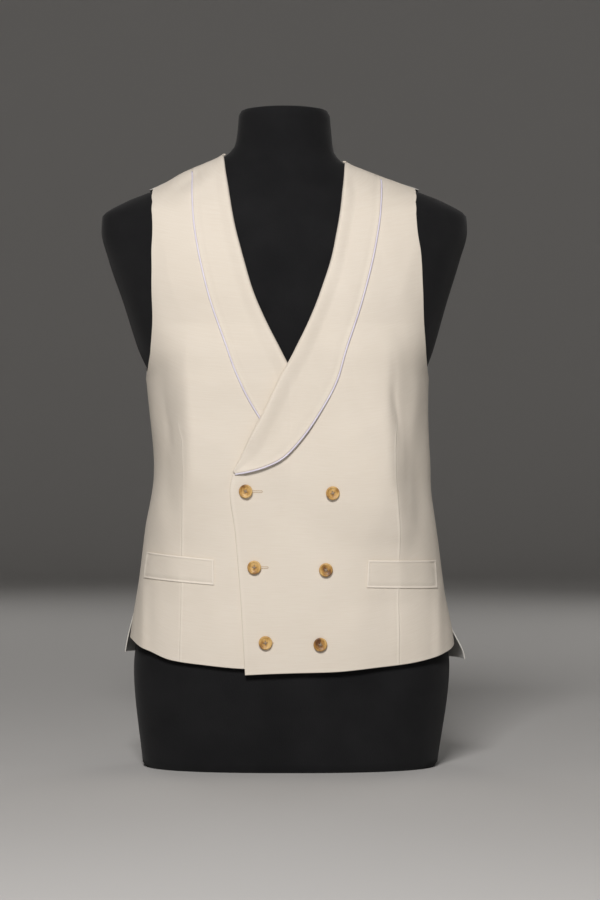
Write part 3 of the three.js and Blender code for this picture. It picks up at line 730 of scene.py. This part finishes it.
def front_points(side):
    sign = 1 if side == "left" else -1
    u, v = np.meshgrid(front_columns(), spaced(FRONT_LENGTH, CLOTH_STEP))
    edge_z = mix(FRONT_BOTTOM, NECK_POINT, v)
    side_z = mix(SIDE_HEM, SHOULDER_TIP, v)
    dart_z = mix(edge_z, side_z, DART_SHARE)
    at_edge = front_angle(edge_x[side](edge_z), edge_z)
    at_dart = front_angle(dart_x[side](dart_z), dart_z)
    at_side = sign * armhole[side](side_z)
    angle = np.where(
        u <= DART_SHARE,
        mix(at_edge, at_dart, u / DART_SHARE),
        mix(at_dart, at_side, (u - DART_SHARE) / (1 - DART_SHARE)),
    )
    z = mix(edge_z, side_z, u)
    reach = sign * body_point(angle, z)[..., 0]
    shift = hem_height[side](reach) - mix(FRONT_BOTTOM, SIDE_HEM, u)
    z = z + shift * np.maximum(0, 1 - v / HEM_REACH) ** 2
    from_dart = (u - DART_SHARE) * FRONT_WIDTH
    on_dart = 1 - ease_in(z, *DART_FADE)
    ridge = DART_RISE * soft_ridge(from_dart + 0.8, DART_WIDTH)
    groove = -DART_DEPTH * soft_ridge(from_dart - 0.9, DART_WIDTH)
    under = TURNING_RISE * soft_ridge(from_dart + TURNING_PLACE, TURNING_WIDTH)
    under = under * (1 - ease_in(z, *TURNING_FADE))
    pucker = DART_PUCKER * np.exp(-np.abs(from_dart) / DART_PUCKER_REACH)
    pucker = pucker * np.sin(z / 2.9 + np.sin(z / 23))
    out = front_base(side, angle, z) + FRONT_CLOTH / 2
    out = out + on_dart * (ridge + groove + under + pucker)
    from_edge, from_armhole, from_hem, _ = border_distances(off_body(angle, z, out))
    stitched = soft_ridge(from_edge - EDGE_STITCH, STITCH_WIDTH)
    beside_stitch = soft_ridge(from_edge - STITCH_TROUGH, STITCH_WIDTH)
    rise = STITCH_RISE * stitched - TROUGH_DEPTH * beside_stitch
    # Painted highlight: a mask that paints the stitch line, hem, armhole and dart seam lighter.
    rim = np.exp(-from_hem / HEM_RIM) + np.exp(-from_armhole / ARMHOLE_RIM)
    seam = on_dart * soft_ridge(from_dart + 0.7, 0.5)
    seam = seam * (DART_HIGHLIGHT + DART_HIGHLIGHT_ADDED * ease_in(z, *DART_HIGHLIGHT_RISE))
    painted_highlight = np.clip(STITCH_HIGHLIGHT * stitched + RIM_HIGHLIGHT * rim + seam, 0, 1)
    return off_body(angle, z, out + rise), painted_highlight


WEAVE_PITCH = 0.0009
CREAM_TONES = (
    (0.25, (0.77, 0.7, 0.6, 1)),
    (0.5, (0.79, 0.723, 0.626, 1)),
    (0.75, (0.805, 0.744, 0.652, 1)),
)
CREAM_CLOUD = ((0.3, (0.96, 0.955, 0.945, 1)), (0.7, (1, 1, 1, 1)))
# Painted highlight: the paler tone mixed into the cream cloth along edges, seams and welt beads.
PAINTED_HIGHLIGHT_TONE = (0.9, 0.83, 0.73, 1)


def add_weave(nodes, links, vector, pitch):
    """Plain weave: how far bands along and across differ, so that threads pass over and under."""
    bands = []
    for direction in ("X", "Y"):
        band = add_node(nodes, "ShaderNodeTexWave", Scale=math.tau / (20 * pitch))
        band.bands_direction = direction
        links.new(vector, band.inputs["Vector"])
        bands.append(band.outputs["Fac"])
    both = add_math(nodes, links, "SUBTRACT", bands[0], bands[1])
    return add_math(nodes, links, "ABSOLUTE", both, 0)


cream, nodes, links, shader = new_material(
    "cream_cloth", Base_Color=CREAM_TONES[1][1], Roughness=0.88, Sheen_Weight=0.03,
    Sheen_Roughness=0.5, Specular_IOR_Level=0.2
)
uv = nodes.new("ShaderNodeTexCoord").outputs["UV"]
weave = add_weave(nodes, links, uv, WEAVE_PITCH)
fuzz = add_noise(nodes, links, uv, 1, stretch=(1700, 1700, 1), detail=2)
slub = add_noise(nodes, links, uv, 1, stretch=(36, 900, 1), detail=3, roughness=0.6)
cloud = add_noise(nodes, links, uv, 9, detail=3)
tone = add_ramp(nodes, links, slub, CREAM_TONES)
shade = add_ramp(nodes, links, cloud, CREAM_CLOUD)
tint = nodes.new("ShaderNodeMix")
tint.data_type = "RGBA"
tint.blend_type = "MULTIPLY"
tint.inputs["Factor"].default_value = 1
links.new(tone, tint.inputs[6])
links.new(shade, tint.inputs[7])
# Painted highlight: the mask paints the cloth's colour lighter along edges, seams and welt beads.
highlight_attribute = nodes.new("ShaderNodeAttribute")
highlight_attribute.attribute_name = "painted_highlight"
lighten = nodes.new("ShaderNodeMix")
lighten.data_type = "RGBA"
lighten.inputs[7].default_value = PAINTED_HIGHLIGHT_TONE
links.new(highlight_attribute.outputs["Fac"], lighten.inputs["Factor"])
links.new(tint.outputs[2], lighten.inputs[6])
links.new(lighten.outputs[2], shader.inputs["Base Color"])
threads = add_math(nodes, links, "ADD", weave, add_math(nodes, links, "MULTIPLY", fuzz, 0.8))
cloth_height = add_math(nodes, links, "ADD", threads, add_math(nodes, links, "MULTIPLY", slub, 0.4))
add_bump(nodes, links, shader, cloth_height, 0.0001, 0.45)

for side in SIDES:
    points, painted_highlight = front_points(side)
    panel = cloth_shell("front_panel_" + side, points, FRONT_CLOTH, EDGE_ROUNDING, painted_highlight)
    finish_cloth(panel, cream, "front_" + side)

# Welts: a folded strip of the same cloth over each pocket's mouth, seamed below and sewn down
# at both ends, with its free upper edge standing a little away from the front.
# The welts' edges are painted lighter: painted highlight.
WELTS = {
    "left": (((89.7, 251), (171.4, 249)), ((89, 219), (173.5, 216))),
    "right": (((-88, 252), (-168, 259)), ((-88, 222), (-172.5, 228))),
}
WELT_CLOTH, WELT_GAP, WELT_ROUNDING = 1.3, 0.35, 0.8
WELT_WIDTH, WELT_HEIGHT = 84, 31
WELT_STEPS = (1.8, 1.6)
MOUTH_STAND, SEAM_SINK = 0.4, 0.75
ENDS_HELD, SEAM_HELD = 8, 7
BEAD_PLACE, BEAD_WIDTH, BEAD_RISE = 0.9, 0.7, 0.45
BESIDE_BEAD, BESIDE_WIDTH, BESIDE_DEPTH = 2.8, 0.9, 0.2
CORNER_PINCH = 0.6


def welt_points(side):
    top, bottom = WELTS[side]
    u, v = np.meshgrid(spaced(WELT_WIDTH, WELT_STEPS[0]), spaced(WELT_HEIGHT, WELT_STEPS[1]))
    x, z = (
        mix(mix(bottom[0][k], bottom[1][k], u), mix(top[0][k], top[1][k], u), v) for k in range(2)
    )
    angle = front_angle(x, z)
    from_end = np.minimum(u, 1 - u) * WELT_WIDTH
    from_bottom, from_top = v * WELT_HEIGHT, (1 - v) * WELT_HEIGHT
    from_edge = np.minimum(np.minimum(from_end, from_bottom), from_top)
    held = 1 - ease_in(from_end, 0, ENDS_HELD)
    lift = MOUTH_STAND * ease_in(v, 0.35, 1) * (1 - held)
    lift = lift - SEAM_SINK * (1 - ease_in(from_bottom, 0, SEAM_HELD))
    bead = soft_ridge(from_edge - BEAD_PLACE, BEAD_WIDTH)
    rim = BEAD_RISE * bead - BESIDE_DEPTH * soft_ridge(from_edge - BESIDE_BEAD, BESIDE_WIDTH)
    pucker = 0.1 * np.sin(u * 70) * np.exp(-from_bottom / 6) + 0.08 * np.sin(v * 21) * held
    outer_corner = ((1 - u) * WELT_WIDTH - 4) ** 2 / 16 + (from_top - 3) ** 2 / 9
    pinch = -CORNER_PINCH * np.exp(-outer_corner)
    out = front_base(side, angle, z) + FRONT_CLOTH + WELT_GAP + WELT_CLOTH / 2
    # The bead's mask is also returned as the welt's painted highlight, which paints all four edges
    # lighter.
    return off_body(angle, z, out + lift + rim + pucker + pinch), bead


for side in SIDES:
    points, painted_highlight = welt_points(side)
    welt = cloth_shell("welt_strip_" + side, points, WELT_CLOTH, WELT_ROUNDING, painted_highlight)
    finish_cloth(welt, cream, "welt_" + side)

# Lapels: a shawl collar in the cream cloth, rolled softly over the front's edge and lying on
# the chest. It is widest at the shoulder curve and runs to nothing at the break point.
ROLL_END = 354
ROLL_RADIUS, ROLL_CENTRE_UP, ROLL_START = 2.9, 3.3, 0.2
ROLL_TURN, ROLL_COLUMNS = (-48, 90), 12
LAPEL_CLOTH, LAPEL_GAP, LAPEL_ROUNDING = 2, 0.45, 1.1
LAPEL_LENGTH, LAPEL_ROW_STEP, LAPEL_END = 430, 0.8 * CLOTH_STEP, 0.997
LAPEL_WIDTH, LAPEL_COLUMN_STEP = 60, 1.8
PIPING_ROOM, SHOULDER_ROOM = 0.95, 0.3
SEWN_SINK, NECK_SINK = 1.2, 1.2
OUTER_STAND = 3
LAPEL_BELLY = 0.8


def through_points(points, shares):
    """Places at shares of the way along a smooth centripetal curve through placed points."""
    places = np.array(points, float)
    places = np.vstack([2 * places[0] - places[1], places, 2 * places[-1] - places[-2]])
    step = np.linalg.norm(np.diff(places, axis=0), axis=1)[:, None] ** 0.5
    line = []
    for k in range(1, len(places) - 2):
        before, here, after, last = places[k - 1 : k + 3]
        leave = (here - before) / step[k - 1] - (after - before) / (step[k - 1] + step[k])
        leave = (leave + (after - here) / step[k]) * step[k]
        arrive = (after - here) / step[k] - (last - here) / (step[k] + step[k + 1])
        arrive = (arrive + (last - after) / step[k + 1]) * step[k]
        t = np.linspace(0, 1, 60, endpoint=False)[:, None]
        curve = here * (2 * t**3 - 3 * t**2 + 1) + leave * (t**3 - 2 * t**2 + t)
        line.append(curve + after * (3 * t**2 - 2 * t**3) + arrive * (t**3 - t**2))
    line = np.vstack([*line, places[-2]])
    travelled = np.concatenate([[0], np.cumsum(np.linalg.norm(np.diff(line, axis=0), axis=1))])
    at = np.asarray(shares) * travelled[-1]
    return np.stack([np.interp(at, travelled, line[:, k]) for k in range(2)], axis=-1)


def lapel_outline(side, shares):
    first = 0 if side == "left" else 2
    return through_points([row[first : first + 2] for row in LAPEL_EDGE[1:]], shares)


def edge_stand(side, along):
    """How far the outer edge of the upper lapel stands off the front near its lower end."""
    stand = OUTER_STAND * ease_in(along, 0.62, 0.8) * (1 - ease_in(along, 0.965, 0.999))
    return stand if side == "left" else 0 * stand


def lapel_points(side):
    sign = 1 if side == "left" else -1
    t = spaced(LAPEL_LENGTH, LAPEL_ROW_STEP) * LAPEL_END
    outer = lapel_outline(side, t)
    roll_z = mix(NECK_POINT, ROLL_END, t)
    roll_angle = front_angle(edge_x[side](roll_z), roll_z)
    outer_angle = front_angle(outer[:, 0], outer[:, 1])
    roll_at, outer_at = body_point(roll_angle, roll_z), body_point(outer_angle, outer[:, 1])
    width = np.linalg.norm(roll_at - outer_at, axis=-1)
    turn = np.radians(np.linspace(*ROLL_TURN, ROLL_COLUMNS))
    flat = spaced(LAPEL_WIDTH, LAPEL_COLUMN_STEP, (False, True))[1:]
    lower_taper, upper_taper = 1 - ease_in(t, 0.86, 0.995), 1 - ease_in(t, 0, 0.12)
    taper = (0.2 + 0.8 * lower_taper - 0.8 * upper_taper)[:, None]
    roll_across = ROLL_START - ROLL_RADIUS * np.cos(turn)[None, :] * taper
    roll_up = (ROLL_CENTRE_UP + ROLL_RADIUS * np.sin(turn))[None, :] * taper + 0.4 * (1 - taper)
    edge_across = (width - PIPING_ROOM)[:, None]
    flat_across = ROLL_START + (edge_across - ROLL_START) * flat[None, :]
    top_up = roll_up[:, -1:]
    sewn = (1 - ease_in(t, 0, 0.08))[:, None]
    stand_off = edge_stand(side, t)[:, None]
    rest_up = FRONT_CLOTH + LAPEL_GAP - SEWN_SINK * sewn + LAPEL_CLOTH / 2
    settle = ease_in(flat_across, ROLL_START, np.minimum(17, 0.6 * edge_across))
    from_edge = edge_across - flat_across
    ridge = 0.5 * soft_ridge(from_edge, 2.4) - 0.3 * soft_ridge(from_edge - 6, 3)
    flat_up = mix(np.maximum(top_up, rest_up + 0.3), rest_up, settle)
    flat_up = flat_up + stand_off * ease_in(flat_across, 0.4 * edge_across, edge_across)
    flat_up = flat_up + ridge * ease_in(edge_across, 10, 25)
    belly = LAPEL_BELLY * np.sin(np.pi * np.clip(flat_across / edge_across, 0, 1)) * (1 - sewn)
    flat_up = flat_up + belly * (0.5 + 0.5 * np.sin(t[:, None] * 17 + sign))
    across = np.hstack([roll_across, flat_across])
    up = np.hstack([roll_up, flat_up])
    share = across / width[:, None]
    angle = mix(roll_angle[:, None], outer_angle[:, None], share)
    z = mix(roll_z[:, None], outer[:, 1:2], share)
    room = SHOULDER_ROOM * ease_in(z, 630, 680)
    sunk = NECK_SINK * (1 - ease_in(t, 0, 0.015))[:, None]
    return off_body(angle, z, front_base(side, angle, z) + up + room - sunk)


for side in SIDES:
    points = lapel_points(side)
    lapel = cloth_shell("lapel_roll_" + side, points, LAPEL_CLOTH, LAPEL_ROUNDING)
    finish_cloth(lapel, cream, "lapel_" + side)

# Piping: a thin cord in pale lilac satin, caught in the seam along each lapel's outer edge.
PIPING_RADIUS, PIPING_GAP = 1.1, 0.3
PIPING_ENDS, PIPING_STEPS = (0.012, 0.999), 260

lilac, nodes, links, shader = new_material(
    "lilac_satin", Base_Color=(0.76, 0.72, 0.83, 1), Roughness=0.4, Sheen_Weight=0.2,
    Sheen_Roughness=0.4
)
place = nodes.new("ShaderNodeTexCoord").outputs["Object"]
fine = add_noise(nodes, links, place, 1500, detail=2)
shade = add_noise(nodes, links, place, 60, detail=3)
lilacs = ((0.3, (0.7, 0.66, 0.78, 1)), (0.7, (0.8, 0.77, 0.87, 1)))
colour_by(nodes, links, shader, shade, lilacs)
add_bump(nodes, links, shader, fine, 0.0001, 0.4)


def tube_object(name, points, radius, swell=None, closed=False):
    """A round thread or cord along points in metres, with closed ends or in a closed loop."""
    line = bpy.data.curves.new(name, "CURVE")
    line.dimensions = "3D"
    line.bevel_depth = radius
    line.bevel_resolution = 3
    line.use_fill_caps = True
    spline = line.splines.new("POLY")
    spline.points.add(len(points) - 1)
    spline.points.foreach_set("co", np.hstack([points, np.ones((len(points), 1))]).ravel())
    spline.use_cyclic_u = closed
    if swell is not None:
        spline.points.foreach_set("radius", swell)
    made = bpy.data.objects.new(name, line)
    bpy.context.collection.objects.link(made)
    select_only(made)
    bpy.ops.object.convert(target="MESH")
    in_edit_mode(made)
    bpy.ops.mesh.select_all(action="SELECT")
    bpy.ops.mesh.remove_doubles(threshold=0.000001)
    face_outwards()
    shade_smooth(made)
    return made


for side in SIDES:
    along = np.linspace(*PIPING_ENDS, PIPING_STEPS)
    edge = lapel_outline(side, along)
    angle = front_angle(edge[:, 0], edge[:, 1])
    up = front_base(side, angle, edge[:, 1]) + FRONT_CLOTH + PIPING_GAP + PIPING_RADIUS
    line = off_body(angle, edge[:, 1], up + edge_stand(side, along)) * MM
    piping = tube_object("piping_cord_" + side, line, PIPING_RADIUS * MM)
    finish_piece(piping, lilac, "piping_" + side)

# Buttons: turned from mottled amber horn, with a rolled rim, a dished middle and four holes,
# each sewn on with crossed strands of grey-beige thread over a short shank.
BUTTONS = {
    "button_top_right": (-50, 332, 20),
    "button_top_left": (48.8, 330, 65),
    "button_middle_right": (-41, 243, 38),
    "button_middle_left": (41.9, 240, 8),
    "button_bottom_right": (-28, 155, 52),
    "button_bottom_left": (35.6, 153, 30),
}
BUTTON_SEAT_GAP = 0.6
HORN_PROFILE = (
    (5.2, 0),
    (7.1, 0.7),
    (7.9, 1.6),
    (8.1, 2.3),
    (7.9, 3),
    (7.4, 3.5),
    (6.8, 3.7),
    (6.1, 3.5),
    (5.4, 2.95),
    (4.6, 2.65),
    (3.4, 2.55),
    (1.8, 2.5),
)
HORN_SIDES, RIM_SOFTNESS = 56, 0.16
HOLES, HOLE_OFFSET, HOLE_RADIUS, HOLE_SIDES, DRILL_DEPTH = 4, 1.9, 0.8, 20, 12
THREAD_RADIUS, THREAD_SPACING, THREAD_STEPS = 0.28, 0.26, 40

horn, nodes, links, shader = new_material(
    "amber_horn", Base_Color=(0.5, 0.29, 0.09, 1), Roughness=0.42, Coat_Weight=0.1,
    Coat_Roughness=0.25, Specular_IOR_Level=0.4
)
place = nodes.new("ShaderNodeTexCoord").outputs["Object"]
streak = add_noise(nodes, links, place, 130, stretch=(1, 1, 0.45), detail=5, roughness=0.6)
patch = add_noise(nodes, links, place, 55, detail=3)
grain = add_noise(nodes, links, place, 900, detail=2)
mottle = add_math(nodes, links, "ADD", streak, add_math(nodes, links, "MULTIPLY", patch, 0.8))
ambers = (
    (0.66, (0.13, 0.05, 0.014, 1)),
    (0.78, (0.36, 0.18, 0.045, 1)),
    (0.9, (0.58, 0.34, 0.1, 1)),
    (1, (0.7, 0.46, 0.18, 1)),
)
colour_by(nodes, links, shader, mottle, ambers)
add_bump(nodes, links, shader, grain, 0.00005, 0.3)

thread, nodes, links, shader = new_material(
    "sewing_thread", Base_Color=(0.4, 0.31, 0.23, 1), Roughness=0.7, Sheen_Weight=0.1
)
place = nodes.new("ShaderNodeTexCoord").outputs["Object"]
twist = add_noise(nodes, links, place, 2600, detail=1)
beiges = ((0.35, (0.28, 0.2, 0.14, 1)), (0.65, (0.52, 0.42, 0.33, 1)))
colour_by(nodes, links, shader, twist, beiges)
add_bump(nodes, links, shader, twist, 0.00008, 0.5)


def turned_horn():
    """The button's disc at the origin: a ring drawn in by extruding and resizing."""
    bpy.ops.object.select_all(action="DESELECT")
    bpy.ops.mesh.primitive_circle_add(
        vertices=HORN_SIDES, radius=HORN_PROFILE[0][0] * MM, fill_type="NGON", location=(0, 0, 0)
    )
    made = bpy.context.object
    in_edit_mode(made)
    bpy.ops.mesh.select_all(action="SELECT")
    bpy.ops.mesh.flip_normals()
    for before, after in zip(HORN_PROFILE, HORN_PROFILE[1:]):
        extrude_ring((after[1] - before[1]) * MM, after[0] / before[0])
    face_outwards()
    for k in range(HOLES):
        turn = math.radians(45 + 90 * k)
        spot = (HOLE_OFFSET * MM * math.cos(turn), HOLE_OFFSET * MM * math.sin(turn), 0)
        bpy.ops.object.select_all(action="DESELECT")
        bpy.ops.mesh.primitive_cylinder_add(
            vertices=HOLE_SIDES, radius=HOLE_RADIUS * MM, depth=DRILL_DEPTH * MM, location=spot
        )
        drill = bpy.context.object
        cut = made.modifiers.new("hole", "BOOLEAN")
        cut.object = drill
        cut.operation = "DIFFERENCE"
        cut.solver = "EXACT"
        apply_modifiers(made)
        bpy.data.objects.remove(drill, do_unlink=True)
    soften = made.modifiers.new("soft_rims", "BEVEL")
    soften.width = RIM_SOFTNESS * MM
    soften.segments = 2
    soften.limit_method = "ANGLE"
    soften.angle_limit = math.radians(50)
    apply_modifiers(made)
    shade_smooth(made, 40)
    return made


def on_left_front(x, z, up):
    """A place over the left front's outer face, in metres."""
    angle = front_angle(x, z)
    return off_body(angle, z, front_base("left", angle, z) + FRONT_CLOTH + up) * MM


def seat_on_front(made, x, z, up):
    """Sets a piece that was made at the origin on the left front, and freezes its place."""
    seat, above = on_left_front(x, z, up), on_left_front(x, z, up + 1)
    made.location = seat
    made.rotation_mode = "QUATERNION"
    made.rotation_quaternion = Vector(above - seat).normalized().to_track_quat("Z", "Y")
    select_only(made)
    bpy.ops.object.transform_apply(location=True, rotation=True, scale=True)


def crossed_strands():
    """Thread through the four holes at the origin: two crossing pairs of strands."""
    strands = []
    for turn, over in ((math.radians(45), 0), (math.radians(135), 0.45)):
        outward = np.array([math.cos(turn), math.sin(turn), 0])
        beside = np.array([-math.sin(turn), math.cos(turn), 0])
        for offset in (-THREAD_SPACING, THREAD_SPACING):
            half = [(1.9, -1.2), (1.9, 1.8), (1.85, 2.5), (1.55, 2.95), (0.9, 3 + 0.7 * over)]
            path = half + [(0, 3.1 + over - abs(offset) * 0.3)] + [(-r, up) for r, up in half[::-1]]
            smooth = through_points(path, np.linspace(0, 1, THREAD_STEPS))
            places = smooth[:, :1] * outward + beside * offset + smooth[:, 1:] * np.array([0, 0, 1])
            strands.append(tube_object("strand", places * MM, THREAD_RADIUS * MM))
    select_only(strands[0])
    for strand in strands[1:]:
        strand.select_set(True)
    bpy.ops.object.join()
    return strands[0]


def copy_of(made, name):
    twin = made.copy()
    twin.data = made.data.copy()
    twin.name = twin.data.name = name
    bpy.context.collection.objects.link(twin)
    return twin


disc, knot = turned_horn(), crossed_strands()
for node, (x, z, spin) in BUTTONS.items():
    button = copy_of(disc, node.replace("button", "horn_button"))
    strands = copy_of(knot, node.replace("button", "thread"))
    for piece in (button, strands):
        piece.data.transform(Matrix.Rotation(math.radians(spin), 4, "Z"))
        seat_on_front(piece, x, z, BUTTON_SEAT_GAP)
    finish_piece(button, horn, node)
    finish_piece(strands, thread)
for first in (disc, knot):
    bpy.data.objects.remove(first, do_unlink=True)

# Buttonholes: three worked slits in the left front under the outer column of buttons, each
# edged with a purled cord of tan silk. Their inner ends show past the buttons.
BUTTONHOLES = {"top": (-50, -31.5, 332), "middle": (-42, -25, 243), "bottom": (-34.5, -19, 155)}
PURL_HALF_HEIGHT, PURL_RADIUS, PURL_PITCH, PURL_UP = 1.05, 0.42, 0.66, 0.2
PURL_STEPS, PURL_SWELL = 4, (0.8, 0.3)

silk, nodes, links, shader = new_material(
    "buttonhole_silk", Base_Color=(0.6, 0.48, 0.33, 1), Roughness=0.5, Sheen_Weight=0.2
)
place = nodes.new("ShaderNodeTexCoord").outputs["Object"]
strand_noise = add_noise(nodes, links, place, 1800, detail=2)
tans = ((0.3, (0.5, 0.38, 0.25, 1)), (0.7, (0.68, 0.56, 0.41, 1)))
colour_by(nodes, links, shader, strand_noise, tans)
add_bump(nodes, links, shader, strand_noise, 0.00008, 0.5)

for name, (start, end, z) in BUTTONHOLES.items():
    straight = end - start - 2 * PURL_HALF_HEIGHT
    bend = math.pi * PURL_HALF_HEIGHT
    loop = 2 * (straight + bend)
    stitches = int(loop / PURL_PITCH)
    along = np.linspace(0, loop, stitches * PURL_STEPS, endpoint=False)
    half = along % (straight + bend)
    turn = np.clip((half - straight) / PURL_HALF_HEIGHT, 0, math.pi)
    local_x = np.minimum(half, straight) - straight / 2 + PURL_HALF_HEIGHT * np.sin(turn)
    local_z = PURL_HALF_HEIGHT * np.cos(turn)
    second = np.where(along >= straight + bend, -1, 1)
    middle = (start + end) / 2
    places = on_left_front(middle + second * local_x, z + second * local_z, PURL_UP)
    stitch_share = (np.arange(len(along)) % PURL_STEPS) / PURL_STEPS
    swell = PURL_SWELL[0] + PURL_SWELL[1] * np.sin(np.pi * stitch_share)
    purl = tube_object("buttonhole_purl_" + name, places, PURL_RADIUS * MM, swell, True)
    finish_piece(purl, silk)

# Studio: a round sweep of pale paper under and around the form, a strong soft light high in
# front of it, a weak broad one lower at the other side, and two soft lights behind it.
SWEEP_FLOOR, SWEEP_BEND, SWEEP_WALL = 5.2, 2.4, 3.2
SWEEP_SIDES, SWEEP_STEPS = 96, 14
bpy.ops.object.select_all(action="DESELECT")
bpy.ops.mesh.primitive_circle_add(
    vertices=SWEEP_SIDES, radius=SWEEP_FLOOR, fill_type="NGON", location=(0, 0, 0)
)
sweep = bpy.context.object
sweep.name = "studio_sweep"
in_edit_mode(sweep)
bpy.ops.mesh.select_all(action="SELECT")
radius, height = SWEEP_FLOOR, 0
for k in range(1, SWEEP_STEPS + 2):
    turn = min(k / SWEEP_STEPS, 1) * math.pi / 2
    to_radius = SWEEP_FLOOR + SWEEP_BEND * math.sin(turn)
    to_height = SWEEP_BEND * (1 - math.cos(turn)) + (SWEEP_WALL if k > SWEEP_STEPS else 0)
    extrude_ring(to_height - height, to_radius / radius)
    radius, height = to_radius, to_height
bpy.ops.object.mode_set(mode="OBJECT")
shade_smooth(sweep)
paper, nodes, links, shader = new_material(
    "pale_paper", Base_Color=(0.52, 0.515, 0.505, 1), Roughness=0.95, Specular_IOR_Level=0.1
)
sweep.data.materials.append(paper)

world = bpy.data.worlds.new("studio")
world.use_nodes = True
world.node_tree.nodes["Background"].inputs["Color"].default_value = (1, 0.97, 0.92, 1)
world.node_tree.nodes["Background"].inputs["Strength"].default_value = 0.03
bpy.context.scene.world = world
bpy.context.scene.view_settings.view_transform = "Standard"
AIM_HEIGHT = 0.42
LIGHTS = (
    ("name", "place", "size", "power", "colour"),
    ("key_light", (-0.32, -3.2, 2.3), 0.85, 115, (1, 0.97, 0.955)),
    ("fill_light", (0.8, -3.4, 0.9), 1.2, 4, (1, 0.97, 0.955)),
    ("back_light_left", (-1.5, 3.4, 2.0), 1.4, 15, (1, 0.98, 0.96)),
    ("back_light_right", (1.8, 3.1, 1.7), 1.4, 15, (1, 0.98, 0.96)),
)
for name, spot, size, power, colour in LIGHTS[1:]:
    bpy.ops.object.light_add(type="AREA", location=spot)
    light = bpy.context.object
    light.name = name
    light.data.size = size
    light.data.energy = power
    light.data.color = colour
    aim = Vector((0, 0, AIM_HEIGHT)) - light.location
    light.rotation_mode = "QUATERNION"
    light.rotation_quaternion = aim.to_track_quat("-Z", "Y")
